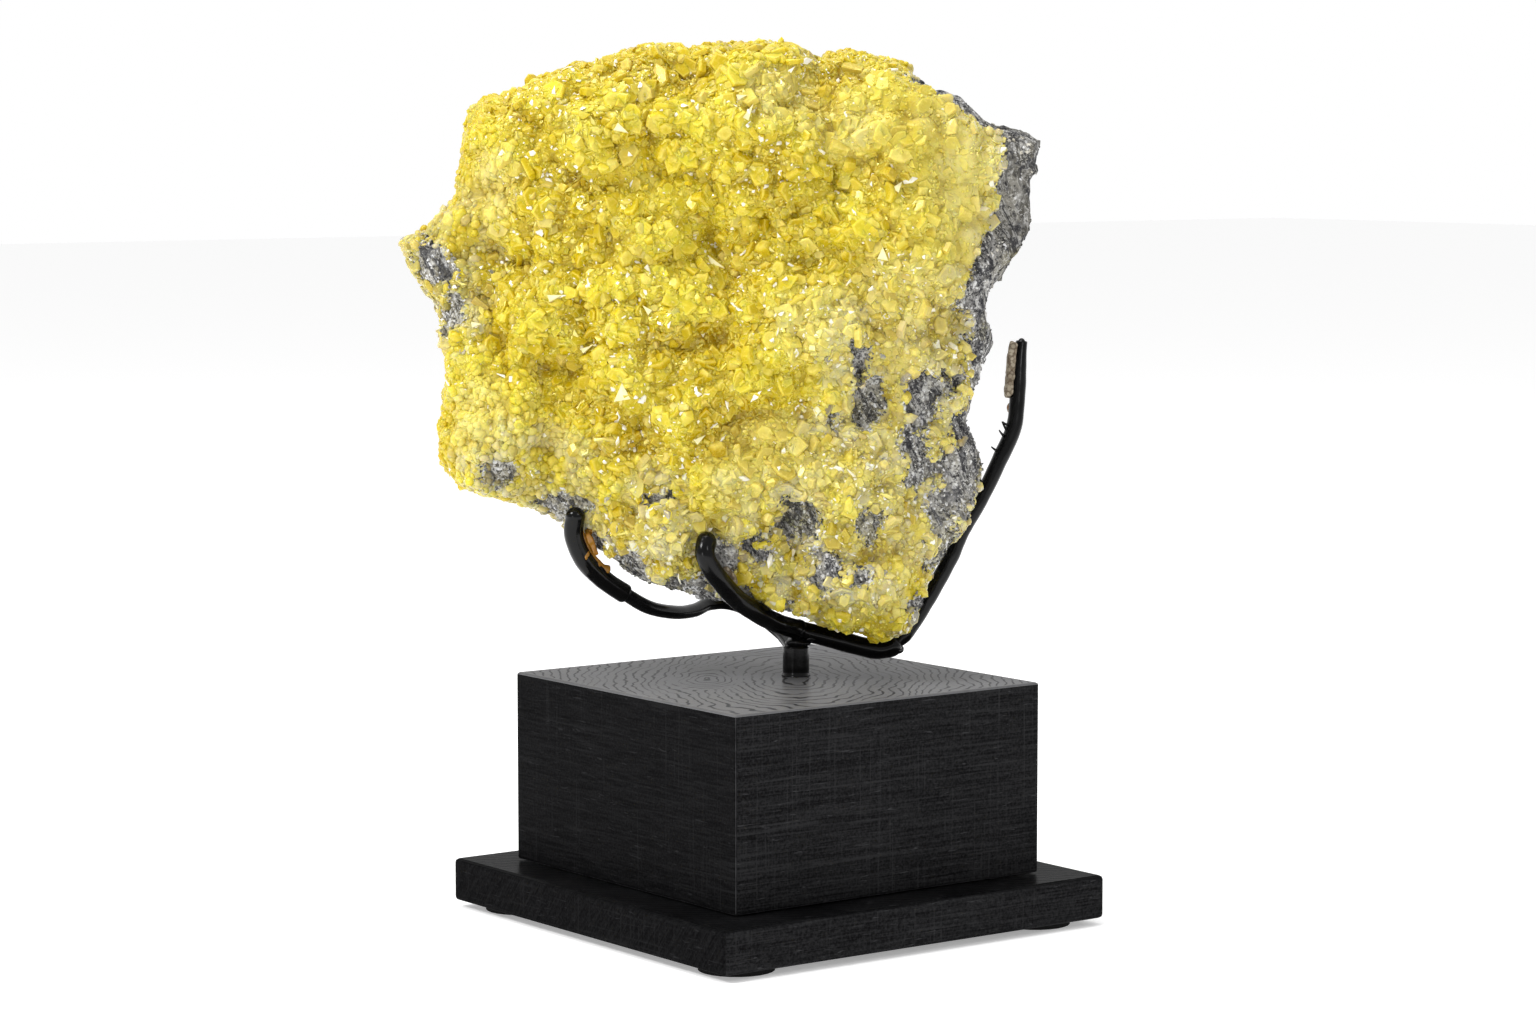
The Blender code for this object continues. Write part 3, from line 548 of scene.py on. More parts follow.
def round_end(path, radii, radius, at_start=False):
    """Path and radii with a half-ball added at one end: r cos(t) at r sin(t) beyond it."""
    if at_start:
        path, radii = round_end(path[::-1], radii[::-1], radius)
        return path[::-1], radii[::-1]
    t = np.linspace(0.12, math.pi / 2 - 0.06, 8)
    along = path[-1] - path[-2]
    along /= np.linalg.norm(along)
    path = np.vstack([path, path[-1] + radius * np.sin(t)[:, None] * along])
    return path, np.concatenate([radii, radius * np.cos(t)])


def wavy(path, radius, amount, seed):
    """Radius that wanders along a path by smooth noise, as dipped rubber does."""
    return radius + amount * layered(path, seed, (5.0, 1.0), (1.7, 0.5))


def build_rods(steel, rubber, cork, glue):
    """Post, rods, sleeves, pads and the small trims on them."""
    front = LONG_PATH[:SEAM + 1]
    path, radii = round_end(front, wavy(front, SLEEVE_RADIUS, 0.10, 3), SLEEVE_RADIUS, True)
    add_tube("front_arm_sleeve", path, radii, rubber, ["front_sleeve"])

    bar = LONG_PATH[SEAM:BEND + 1]
    radii = wavy(bar, SLEEVE_RADIUS, 0.12, 7)
    run = np.linspace(0, 1, len(bar))
    radii = radii + 0.45 * np.exp(-((run - 0.93) / 0.06) ** 2) - 0.25 * smooth_step(run, 0.95, 1.0)
    add_tube("bar_rubber_sleeve", bar, radii, rubber, ["bar_sleeve"])

    seam = LONG_PATH[SEAM - 1:SEAM + 1]
    nick = smooth_path([seam[0] - (seam[1] - seam[0]) * 0.4, seam[0], seam[1]], 0.3)
    add_tube("sleeve_seam_lip", nick, wavy(nick, SLEEVE_RADIUS + 0.28, 0.12, 11), rubber)

    start = nearest(LEFT_PATH, LEFT_ROD[LEFT_SLEEVE_FROM])
    left = LEFT_PATH[start:]
    path, radii = round_end(left, wavy(left, SLEEVE_RADIUS, 0.10, 15), SLEEVE_RADIUS)
    add_tube("left_arm_sleeve", path, radii, rubber, ["left_sleeve"])

    run = np.arange(len(LONG_PATH))
    thick = ROD_RADIUS + (TAIL_RADIUS - ROD_RADIUS) * smooth_step(run, BEND, BEND + 4)
    thick = thick + 0.10 * lattice_noise(LONG_PATH, 3.0, 21) * (run > BEND)
    thick = thick * (1 - 0.28 * smooth_step(run, len(run) - 16, len(run) - 1))
    path, radii = round_end(LONG_PATH, thick, thick[-1] * 0.6)
    add_tube("long_rod_coated", path, radii, steel, ["long_rod"], 20)
    thick = wavy(LEFT_PATH, ROD_RADIUS + 0.1, 0.05, 25)
    add_tube("left_rod_coated", LEFT_PATH, thick, steel, ["left_rod"], 20)

    build_post(steel)
    build_pads(cork, glue)
    build_trims(steel, glue)


def build_post(steel):
    """Turned post: a circle carried up its axis, narrowing at both ends, with a collar of black
    paint that has run down to the hole."""
    foot, top = POST_LOW.z / MM, POST_HIGH.z / MM
    block_top = BLOCK_HIGH.z / MM
    radius = POST_RADIUS / MM
    z = np.concatenate([[foot], np.linspace(foot + 1, block_top - 1, 12),
                        np.linspace(block_top - 0.8, top - 0.5, 30), [top - 0.1, top]])
    radii = radius - 0.5 * (z > top - 0.2) + 0.25 * np.exp(-((z - block_top) / 0.7) ** 2)
    path = np.column_stack([np.zeros_like(z), np.zeros_like(z), z])
    radii = radii + 0.05 * lattice_noise(path + 3, 2.0, 31)
    add_tube("turned_post", path, radii, steel, ["post"], 40)


def rounded_box(cuts, power):
    """Cube lattice drawn in to |x|^p + |y|^p + |z|^p = 1."""
    points, quads = cube_lattice((cuts, cuts, cuts))
    size = np.sum(np.abs(points) ** power, axis=1) ** (1 / power)
    return points / size[:, None], quads


def build_pads(cork, glue):
    """Cork strips between the arms and the stone: rounded boxes made uneven by noise."""
    for number, (name, centre, along, towards, size) in enumerate(PADS):
        z = np.array(along) / np.linalg.norm(along)
        y = np.cross(z, towards)
        y /= np.linalg.norm(y)
        x = np.cross(y, z)
        shape, quads = rounded_box(22, 5.0)
        points = shape * np.array(size) / 2
        points = points + shape * 0.28 * lattice_noise(points + 50 * number, 1.6, 41)[:, None]
        points = points[:, :1] * x + points[:, 1:2] * y + points[:, 2:] * z + np.array(centre)
        stuff = glue if name == "left_pad" else cork
        add_piece(name.replace("pad", "cork_strip"), claw_to_row(points), quads, [stuff],
                  [name])


def blob(centre, size, seed, cuts=10):
    """Small ball, stretched and made lumpy by noise."""
    shape, quads = rounded_box(cuts, 2.0)
    lumpy = 1 + 0.22 * lattice_noise(shape + seed * 7.0, 0.8, seed)
    return shape * lumpy[:, None] * np.array(size) + np.array(centre), quads


def build_trims(steel, glue):
    """Weld lumps on the rods, glue beads under the arms and thin burrs on the long arm."""
    for name, trims, stuff, slot, seed in (
            ("weld_lump_%d", WELD_LUMPS, steel, "black_steel", 51),
            ("glue_bead_%d", GLUE_BEADS, glue, "pad_cork", 61)):
        for number, (centre, size) in enumerate(trims):
            points, quads = blob(centre, size, seed + number)
            add_piece(name % number, claw_to_row(points), quads, [stuff])
    tip, foot = (nearest(LEFT_PATH, place) for place in GLUE_FROM_TO)
    step = np.gradient(LEFT_PATH[foot:tip], axis=0)
    across = np.column_stack([step[:, 2], np.zeros(len(step)), -step[:, 0]])
    across /= np.linalg.norm(across, axis=1)[:, None]
    film = LEFT_PATH[foot:tip] + GLUE_OFFSET * across
    run = np.linspace(0, 1, len(film))
    radii = wavy(film, 0.95, 0.25, 67) + 0.8 * np.exp(-((run - 0.05) / 0.05) ** 2)
    add_tube("glue_film", film, radii * np.minimum(1, 8 * (1.02 - run)), glue, sides=14)
    for number, (foot, way, length) in enumerate(BURRS):
        way = np.array(way) / np.linalg.norm(way)
        run = np.linspace(0, 1, 7)[:, None]
        path = np.array(foot) + (1.6 + 0.75 * length * run) * way + np.array([0, 0, 0.5]) * run ** 2
        add_tube("burr_%d" % number, path, np.linspace(0.48, 0.22, 7), steel,
                 sides=8)


# --- stone ----------------------------------------------------------------------------------

def outline_radius(angle):
    """Distance from the heart to the outline in each direction, straight between its points."""
    around = np.array(OUTLINE) - HEART
    angles = np.arctan2(around[:, 1], around[:, 0])
    order = np.argsort(angles)
    return np.interp(angle, angles[order], np.hypot(*around[order].T), period=2 * math.pi)


def raised_forms(x, z, forms):
    """Sum of height * exp(-d^2 / (0.72 r^2)) over rounded swellings and hollows."""
    total = np.zeros_like(x)
    for form_x, form_z, radius, height in forms:
        total += height * np.exp(-((x - form_x) ** 2 + (z - form_z) ** 2) / (0.72 * radius ** 2))
    return total


def rock_points(cube):
    """Points on a cube of half-side 1, taken to the rock's surface in millimetres.

    A section across y is first made a disc, then drawn out to the outline. Towards the rim both
    faces round off, and swellings and hollows push them in and out.
    """
    a = cube[:, 0] * np.sqrt(1 - cube[:, 2] ** 2 / 2)
    b = cube[:, 2] * np.sqrt(1 - cube[:, 0] ** 2 / 2)
    ring = np.hypot(a, b)
    angle = np.arctan2(b, a)
    side = cube[:, 1]
    edge = np.where(side < 0, FRONT_EDGE, BACK_EDGE)
    size = (ring ** edge + np.abs(side) ** edge) ** (1 / edge)
    ring = ring / size
    side = side / size
    reach = ring * (outline_radius(angle) - CRUST_INSET)
    x = HEART[0] + reach * np.cos(angle)
    z = HEART[1] + reach * np.sin(angle)
    front = FRONT_DEPTH + raised_forms(x, z, FRONT_FORMS)
    back = np.min([depth + rise_x * (x - HEART[0]) + rise_z * (z - HEART[1])
                   for depth, rise_x, rise_z in BACK_BREAKS], axis=0)
    back = np.maximum(back + raised_forms(x, z, BACK_FORMS), LEAST_BACK)
    y = side * np.where(side < 0, front, back)
    places = np.column_stack([x, y, z])
    rough = np.where(side < 0, 1.2, 2.6)
    for k in range(3):
        places[:, k] += rough * 0.6 * lattice_noise(places, 17.0, 10 + k)
        places[:, k] += rough * 0.5 * lattice_noise(places, 8.0, 20 + k)
    return places


def bareness(points):
    """1 where the grey rock shows, 0 under the crust: the bare zones of the front, with ragged
    edges, the broken band down the right, strips along the outline there and under the lower
    left, and the back behind a wandering line."""
    x, y, z = points.T
    ragged = layered(points, 70, (6.0, 0.55), (2.2, 0.35))
    strayed_x = x + layered(points, 73, (6.0, 3.2), (2.6, 1.4))
    strayed_z = z + layered(points, 75, (6.0, 3.2), (2.6, 1.4))
    inside = zone_weight(strayed_x, strayed_z, BARE_ZONES, 0.6)
    mixed = zone_weight(x, z, MIXED_ZONES, 0.5)
    fringe = np.clip(3 * inside + 0.75 * mixed, 0, 1)
    front = smooth_step(inside + 0.8 * ragged * fringe - 0.06, 0.18, 0.82)
    front *= 1 - smooth_step(y, 0.0, 14.0)
    heights, starts = np.array(BAND_EDGE).T
    band = smooth_step(x - np.interp(z, heights, starts) + 2.2 * ragged, -0.7, 0.7)
    angle = np.arctan2(z - HEART[1], x - HEART[0])
    inward = outline_radius(angle) - np.hypot(x - HEART[0], z - HEART[1])
    strip = smooth_step(STRIP_WIDTH - inward + 2.5 * ragged, -0.6, 0.6)
    strip *= smooth_step(x + 5.0 * ragged, 33.0, 38.0)
    strip *= smooth_step(z + 12.0 * ragged, 110.0, 150.0)
    under = smooth_step(UNDER_WIDTH - inward + 1.6 * ragged, -0.6, 0.6)
    under *= smooth_step(x, -76.0, -68.0) * smooth_step(-x, -8.0, 0.0)
    under *= smooth_step(-z, -128.0, -122.0)
    broken = np.maximum(np.maximum(band, strip), under)
    line = np.where(x > 40.0, -4.0, CRUST_BACK)
    behind = smooth_step(y + 7.0 * ragged + 4.0 * lattice_noise(points, 20.0, 72), line, line + 5.0)
    stray = zone_weight(x, z, BACK_CRUST_ZONES, 0.6) * (y > 15.0)
    behind = behind - smooth_step(stray + ragged * 0.5, 0.55, 0.8)
    return np.clip(np.maximum(np.maximum(front, broken), behind), 0, 1)


def relief(points, bare, faced):
    """Height of the relief: lumps grown from packed domes of four sizes on the crust, lower where
    it doesn't face the front or back, and broken, ridged and pitted rock where it is bare.

    Also gives how strong the painted golden shade in the creases between the lumps is, in 0..1."""
    x, _, z = points.T
    waxy = zone_weight(x, z, WAXY_ZONES)
    grainy = zone_weight(x, z, GRAINY_ZONES)
    crust = np.zeros_like(x)
    crease_shade = np.zeros_like(x)
    for cell, height, seed, calm, depth in LUMPS:
        domes = cell_domes(points, cell, seed)
        crust += height * (1 - calm * waxy) * (domes - 0.54)
        # painted shade: marks the crease round each dome for golden shading
        crease_shade = np.maximum(crease_shade, depth * smooth_step(1 - domes, 0.30, 0.85))
    crust += 1.6 * grainy * (cell_domes(points, 4.0, 97) - 0.5)
    crease_shade *= 1 - 0.45 * grainy
    ridges = 1 - np.abs(lattice_noise(points @ SLANT, 3.6, 92))
    broken = (-1.5 + layered(points, 90, (8.0, 1.3), (3.4, 0.6)) + 0.7 * ridges
              + 0.15 * lattice_noise(points, 1.6, 93))
    return crust * (0.34 + 0.66 * faced) * (1 - bare) + broken * bare, crease_shade


def crust_shade(points, lift, crease_shade):
    """Colour of the crust: lemon, painted paler on top of lumps as painted light, golden in the
    golden zones and with painted golden shade in hollows and creases, creamy, or stained."""
    x, y, z = points.T
    wander = 0.5 + 0.5 * lattice_noise(points, 22.0, 100)
    flecks = 0.5 + 0.5 * lattice_noise(points, 4.5, 101)
    # partly painted light: the pale zones brighten the crust and weaken its painted shade
    bright = zone_weight(x, z, PALE_ZONES, 0.8)
    golden_and_shade = zone_weight(x, z, GOLDEN_ZONES, 0.8) * (y < 10) * (0.35 + 0.55 * flecks)
    # painted shade: golden in hollows and creases, on top of the golden zones' own tone
    golden_and_shade = np.clip(golden_and_shade + 0.5 * smooth_step(-lift, 0.0, 3.0) + 0.65 * crease_shade, 0, 0.95)
    golden_and_shade *= 1 - 0.55 * bright
    waxy = 0.5 * zone_weight(x, z, WAXY_ZONES) * (0.5 + 0.5 * flecks)
    # painted shade: deeper still in the deepest creases and hollows
    deep_shade = 0.8 * smooth_step(crease_shade + 0.16 * np.clip(-lift, 0, 5), 0.75, 1.5) * (1 - 0.4 * bright)
    milky = zone_weight(x, z, CREAM_ZONES, 0.7) * (0.3 + 0.6 * flecks) * (1 - 0.6 * golden_and_shade)
    halo = 0.95 * zone_weight(x, z, HALO_ZONES, 0.6)
    halo *= smooth_step(layered(points, 102, (5.0, 1.0), (2.0, 0.5)), -0.5, 0.6)
    dirt = 0.6 * zone_weight(x, z, DIRTY_ZONES, 0.7) * smooth_step(flecks, 0.3, 0.8)
    # painted light: the tops of the lumps are painted paler, as if lit
    tops = smooth_step(lift, 0.4, 3.2)
    colour = blend(LEMON, PALE, np.clip(0.4 * wander + 0.8 * tops, 0, 1))
    for towards, share in ((PALE, 0.5 * bright), (GOLDEN, golden_and_shade), ((PALE + CREAM) / 2, waxy),
                           (DEEP_SHADE, deep_shade), (CREAM, milky), (HALO, halo), (STAINED, dirt)):
        colour = blend(colour, towards, share)
    return colour


def rock_shade(points, lift):
    """Colour of the grey marl: clouded slate, darker on the right band and low on the right, with
    painted shade in its hollows, dust on the front, brown, pale specks and yellow stain."""
    x, y, z = points.T
    banded = smooth_step(x, 50.0, 62.0) * smooth_step(z, 165.0, 185.0)
    low_right = smooth_step(x, 44.0, 50.0) * smooth_step(-z, -150.0, -140.0)
    clouds = 0.5 + 0.5 * lattice_noise(points, 8.0, 110)
    specks = smooth_step(lattice_noise(points @ SLANT, 1.4, 111), 0.05, 0.45)
    stain = smooth_step(lattice_noise(points, 11.0, 112), 0.15, 0.8)
    dusty = smooth_step(lattice_noise(points, 3.2, 113), -0.1, 0.6)
    dusty *= smooth_step(-y, 0.0, 10.0) * (1 - banded)
    brown = smooth_step(-x, 20.0, 60.0) + 0.35 * banded
    # painted shade: darker where the rock is hollow, besides darker on the band and low on the right
    dark = 0.35 * banded + 0.55 * low_right + 0.45 * smooth_step(-lift, 1.2, 3.6)
    colour = blend(SLATE, ASH, clouds) * (1 - dark)[:, None]
    for towards, share in ((DUST, 0.4 * dusty), (BROWN, 0.7 * brown),
                           (CHALK, (0.75 - 0.45 * banded - 0.5 * low_right) * specks),
                           (STAINED, 0.5 * stain)):
        colour = blend(colour, towards, share)
    return colour


def build_rock(crust, marl):
    """Rock with its crust, one closed surface. Returns it for the crystals to stand on."""
    cube, quads = cube_lattice(ROCK_CUTS)
    base = rock_points(cube)
    normals = corner_normals(base, quads)
    bare = bareness(base)
    faced = smooth_step(np.abs(normals[:, 1]), 0.3, 0.8)
    lift, crease_shade = relief(base, bare, faced)
    keep = smooth_step(rod_distance(base), *RELIEF_CLEAR)
    lift = np.where(lift > 0, lift * keep, lift)
    points = base + normals * lift[:, None]
    # the crust's colour carries painted light on lump tops and painted shade in hollows and creases
    colour = blend(crust_shade(base, lift, crease_shade), rock_shade(base, lift), bare)
    kinds = bare[quads].mean(axis=1) > 0.5
    add_piece("sulfur_rock", claw_to_row(points), quads, [crust, marl],
              ["sulfur_specimen"], face_kinds=kinds, colours=colour)
    return points, quads, bare, lift, crease_shade


# --- crystals -------------------------------------------------------------------------------

def crystal_form(rng, sides, heights, radii, inner=None, uneven=0.12, peak=0.04, chamfer=0.0):
    """Closed crystal: rings of an uneven polygon at the given heights and radii, with the last one
    tilted and closed by a low peak, and alternate sides shortened by the chamfer. Where the sides,
    the last radius or the inner radius are a pair of numbers, they are drawn between them.

    Also gives each point's glow, which places painted light and shade: -1 at the root, for painted
    golden shade, 0 at the shoulder, 1 on the rim of the top, for a painted pale highlight. With an
    inner ring, the rim is a narrow band and the glow is 0 inside it."""
    if isinstance(sides, tuple):
        sides = rng.integers(*sides)
    if isinstance(radii[-1], tuple):
        radii = (*radii[:-1], rng.uniform(*radii[-1]))
    if inner is not None:
        inner = rng.uniform(*inner)
    around = np.arange(sides) * 2 * math.pi / sides
    around = around + np.where(np.arange(sides) % 2, chamfer, -chamfer)
    around = around + rng.uniform(-0.3, 0.3, sides) * math.pi / sides
    grown = 1 + rng.uniform(-uneven, uneven, sides)
    x = grown * np.cos(around)
    y = grown * np.sin(around)
    tilt = rng.uniform(-0.22, 0.22, 2)
    lean = np.where(np.array(heights) == heights[-1], 1.0, 0.0)
    glow = np.where(np.arange(len(heights)) == 0, -1.0, 0.0) + lean
    if inner is not None:
        heights, radii = (*heights, heights[-1] + 0.02), (*radii, inner)
        lean, glow = np.append(lean, 1.0), np.append(glow, 0.0)
    rings = [np.column_stack([radius * x, radius * y,
                              height + slant * radius * (tilt[0] * x + tilt[1] * y)])
             for height, radius, slant in zip(heights, radii, lean)]
    points = np.vstack(rings + [[[0, 0, heights[-1] + peak]]])
    low = np.arange((len(heights) - 1) * sides)
    after = low // sides * sides + (low + 1) % sides
    top = (len(heights) - 1) * sides
    j = np.arange(sides)
    k = np.arange(1, sides - 1)
    faces = np.vstack([
        np.column_stack([low, after, after + sides]),
        np.column_stack([low, after + sides, low + sides]),
        np.column_stack([top + j, top + (j + 1) % sides, np.full(sides, len(points) - 1)]),
        np.column_stack([0 * k, k + 1, k]),
    ])
    # the peak takes a little of the painted rim highlight
    middle = 0.25 if inner is None else 0.0
    return points, faces, np.append(np.repeat(glow, sides), middle)


def make_forms(rng, **counts):
    """As many crystals of each named kind as asked for."""
    return [crystal_form(rng, **KINDS[kind]) for kind, count in counts.items()
            for _ in range(count)]


def bead_forms(rng, count, cuts, power):
    """Rounded beads and lobes: a cube lattice drawn in to a superquadric and made uneven by noise."""
    made = []
    for number in range(count):
        shape, quads = rounded_box(cuts, rng.uniform(2.2, power))
        shape = shape * (1 + 0.14 * lattice_noise(shape + 9.0 * number, 0.9, 130))[:, None]
        triangles = np.vstack([quads[:, [0, 1, 2]], quads[:, [0, 2, 3]]])
        # glow by height: painted highlight on the upper half, painted shade on the lower
        made.append((shape, triangles, 0.5 * shape[:, 2]))
    return made


def pick_sites(points, quads, weight, gap, trials, rng):
    """Random places on the quads, by area times weight, at most one in each cube of side gap.

    Returns the places, the outward normals and the numbers of the quads."""
    corners = points[quads]
    normal = np.cross(corners[:, 2] - corners[:, 0], corners[:, 3] - corners[:, 1])
    area = np.linalg.norm(normal, axis=1)
    chance = area * weight
    chosen = rng.choice(len(area), size=trials, p=chance / chance.sum())
    s, t = rng.random((2, trials, 1))
    spots = ((1 - s) * (1 - t) * corners[chosen, 0] + s * (1 - t) * corners[chosen, 1]
             + s * t * corners[chosen, 2] + (1 - s) * t * corners[chosen, 3])
    cells = np.floor(spots / gap).astype(np.int64)
    _, first = np.unique(cells, axis=0, return_index=True)
    first = np.sort(first)
    return spots[first], (normal / area[:, None])[chosen[first]], chosen[first]


def turned_axes(normals, lean, rng):
    """Three unit axes for each crystal: its own axis leans at random from the normal, and the
    other two are turned at random about it."""
    own = normals + rng.normal(0, 1, normals.shape) * lean
    own /= np.linalg.norm(own, axis=1)[:, None]
    side = np.cross(own, rng.normal(0, 1, own.shape))
    side /= np.linalg.norm(side, axis=1)[:, None]
    return np.stack([side, np.cross(own, side), own], axis=1)


def scatter(name, spots, axes, sizes, colours, forms, sunk, material, parts=1, smooth=False,
            rim=0.0, root=0.0):
    """Crystals at the spots, as joined meshes: point = spot + axes^T (size * form point).

    Towards its root a crystal takes golden painted shade, and on the rim of its top a pale painted
    highlight."""
    order = np.argsort(spots[:, 0] + 0.3 * spots[:, 2])
    for part, chosen in enumerate(np.array_split(order, parts)):
        all_points, all_faces, all_colours, count = [], [], [], 0
        for kind, (shape, triangles, glow) in enumerate(forms):
            mine = chosen[kind::len(forms)]
            if len(mine) == 0:
                continue
            local = shape[None] * sizes[mine, None] + (0, 0, 1) * (-sunk * sizes[mine, None, 2:])
            placed = np.einsum("nvk,nkd->nvd", local, axes[mine]) + spots[mine, None]
            # painted highlight towards the rim of the top, painted golden shade towards the root
            up = np.clip(glow, 0, 1)[None, :, None] * rim
            down = np.clip(-glow, 0, 1)[None, :, None] * root
            tint = colours[mine, None] * (1 - up - down) + RIM_HIGHLIGHT_AND_FROST * up + GOLDEN * down
            all_points.append(placed.reshape(-1, 3))
            all_colours.append(np.broadcast_to(tint, placed.shape).reshape(-1, 3))
            offsets = count + np.arange(len(mine))[:, None, None] * len(shape)
            all_faces.append((triangles[None] + offsets).reshape(-1, 3))
            count += len(mine) * len(shape)
        add_piece("%s_%d" % (name, part), claw_to_row(np.vstack(all_points)),
                  np.vstack(all_faces), [material], smooth=smooth,
                  colours=np.vstack(all_colours))


def varied(colour, rng):
    """Colours of single crystals: most keep the crust's, some turn pale, creamy or golden, and all
    differ a little in depth."""
    pick = rng.random((len(colour), 1))
    share = rng.uniform(0.1, 0.5, (len(colour), 1))
    colour = np.where(pick < 0.34, blend(colour, PALE, share), colour)
    colour = np.where((pick > 0.34) & (pick < 0.46), blend(colour, CREAM, share), colour)
    colour = np.where(pick > 0.90, blend(colour, GOLDEN, share), colour)
    return np.clip(colour * rng.uniform(0.95, 1.04, (len(colour), 1)), 0, 0.95)


def crystal_colours(spots, bare, lift, crease_shade, frosted, rng):
    """Colours of the crystals at the spots: the crust's, varied. In the frosted share of the halos
    some are milky or grey, in the speckled zones some are stained, and by bare rock they turn
    dusty and grey."""
    x, z = spots[:, 0], spots[:, 2]
    one_each = (len(spots), 1)
    # the crust's colour, with its painted light on lump tops and painted shade in creases and hollows
    colour = varied(crust_shade(spots, lift, 0.7 * crease_shade), rng)
    halo = frosted * zone_weight(x, z, HALO_ZONES, 0.6)[:, None]
    pick = rng.random(one_each)
    colour = np.where(pick < 0.24 * halo, MILKY * rng.uniform(0.9, 1.1, one_each), colour)
    colour = np.where(pick > 1 - 0.20 * halo, ASH * rng.uniform(0.8, 2.2, one_each), colour)
    colour = blend(colour, DUST, np.clip(1.6 * bare - 0.05, 0, 0.8))
    stained = rng.random(one_each) < 0.45 * zone_weight(x, z, SPECKLED_ZONES, 0.6)[:, None]
    colour = np.where(stained, STAINED * rng.uniform(0.8, 1.7, one_each), colour)
    grey = rng.random(one_each) < 0.7 * bare[:, None]
    return np.where(grey, rock_shade(spots, lift), colour)


def crystal_weights(centre, bare):
    """How thickly each sort of crystal or grain stands at each place of the rock."""
    x, y, z = centre.T
    waxy = zone_weight(x, z, WAXY_ZONES)
    grainy = zone_weight(x, z, GRAINY_ZONES)
    faced = smooth_step(-y, 4.0, 16.0)
    mostly_faced = 0.04 + 0.96 * faced
    crusted = np.clip(1.15 - 1.5 * bare, 0, 1) * (y < 12)
    stray = np.clip(1.0 - 1.5 * bare, 0, 1) * (y >= 12) * 0.6
    clusters = smooth_step(layered(centre, 120, (9.0, 1.0), (4.0, 0.5)), -0.55, 0.35)
    drifts = smooth_step(layered(centre, 122, (11.0, 1.0), (5.0, 0.7)), 0.02, 0.55)
    right_low = smooth_step(x, 2.0, 24.0) * smooth_step(-z, -196.0, -172.0)
    right_band = smooth_step(x, 50.0, 58.0) * smooth_step(z, 150.0, 165.0)
    edged = np.clip(4.0 * bare * (1 - bare), 0, 1)
    frosty = smooth_step(lattice_noise(centre, 5.0, 130), -0.3, 0.4)
    return {
        "large_flakes": crusted * (1 - grainy) * (1 - 0.8 * waxy) * (1 - 0.97 * right_low) * faced
                        * (0.02 + drifts),
        "steep_crystals": crusted * (1 - waxy) * (1 - grainy) * faced,
        "middle_flakes": crusted * (1 - 0.8 * waxy) * (1 - 0.95 * grainy) * (1 - 0.85 * right_low)
                         * mostly_faced * (0.03 + drifts),
        "small_crystals": (crusted + stray) * (0.15 + 0.85 * clusters) * (1 - 0.8 * waxy)
                          * mostly_faced * (1 - 0.7 * grainy),
        "popcorn_beads": crusted * np.clip(grainy - 0.02 + 0.25 * (1 - faced), 0, 1)
                         * (0.15 + drifts),
        "marl_grains": np.clip(bare * 1.5 - 0.1, 0, 1) * faced
                       * np.clip(0.10 + 0.5 * frosty + edged, 0, 1) * (1 - 0.75 * right_band),
        "marl_lumps": bare * (y > 2),
    }


def build_crystals(rock, crystal, bright, marl):
    """Flakes, crystals and beads of several sizes over the crust, thinner where the rock is bare
    or a rod is near, then painted white glints on them, bright plates painted as highlights,
    and grains of marl."""
    points, quads, *at_points = rock
    bare, lift, crease_shade = (value[quads].mean(axis=1) for value in at_points)
    centre = points[quads].mean(axis=1)
    near = rod_distance(centre)
    waxy = zone_weight(centre[:, 0], centre[:, 2], WAXY_ZONES)
    weights = crystal_weights(centre, bare)
    rng = np.random.default_rng(7)
    forms = {
        "large_flakes": make_forms(rng, flake=16),
        "steep_crystals": make_forms(rng, pyramid=5, block=5),
        "middle_flakes": make_forms(rng, flake=12, tablet=3),
        "small_crystals": make_forms(rng, grain=10),
        "popcorn_beads": bead_forms(rng, 8, 2, 2.6),
    }

    def sites(name, sort, few_big):
        """Places for one sort, their normals and quads, and sizes between its least and most."""
        spots, normals, on = pick_sites(points, quads, weights[name] * (near > sort["clear"]),
                                        sort["gap"], sort["trials"], rng)
        least, most = sort["sizes"]
        return spots, normals, on, least + (most - least) * rng.random(len(spots)) ** few_big

    perches = []
    for name, sort in CRYSTAL_SORTS.items():
        spots, normals, on, size = sites(name, sort, FEW_BIG)
        thin, thick = sort["flat"]
        stretch = rng.uniform((0.85, 0.55, thin), (1.25, 0.95, thick), (len(spots), 3))
        sizes = (size * (1 - 0.45 * bare[on]))[:, None] * stretch
        axes = turned_axes(normals, sort["lean"], rng)
        colour = crystal_colours(spots, bare[on], lift[on], crease_shade[on], sort["frosted"], rng)
        scatter(name, spots, axes, sizes, colour, forms[name], sort["sunk"], crystal,
                sort["parts"], name == "popcorn_beads", sort["rim"], ROOT_SHADE)
        if name.endswith("flakes"):
            top = spots + axes[:, 2] * sizes[:, 2:] * (FLAKE_TOP - sort["sunk"])
            perches.append((top, axes[:, 2], sizes[:, :2].min(axis=1), bare[on], waxy[on]))
    build_glints(perches, bright, rng)
    build_plates(centre, bright, rng)

    for name, sort in GRAIN_SORTS.items():
        spots, normals, on, size = sites(name, sort, FEW_BIG_GRAINS)
        sizes = size[:, None] * rng.uniform((0.9, 0.6, 0.4), (1.4, 1.0, 0.7), (len(spots), 3))
        depth = rng.choice(GRAIN_DEPTHS, (len(spots), 1), p=GRAIN_CHANCES)
        colour = np.clip(rock_shade(spots, lift[on]) * depth, 0, 0.78)
        axes = turned_axes(normals, sort["lean"], rng)
        scatter(name, spots, axes, sizes, colour, make_forms(rng, grain=8), sort["sunk"], marl)


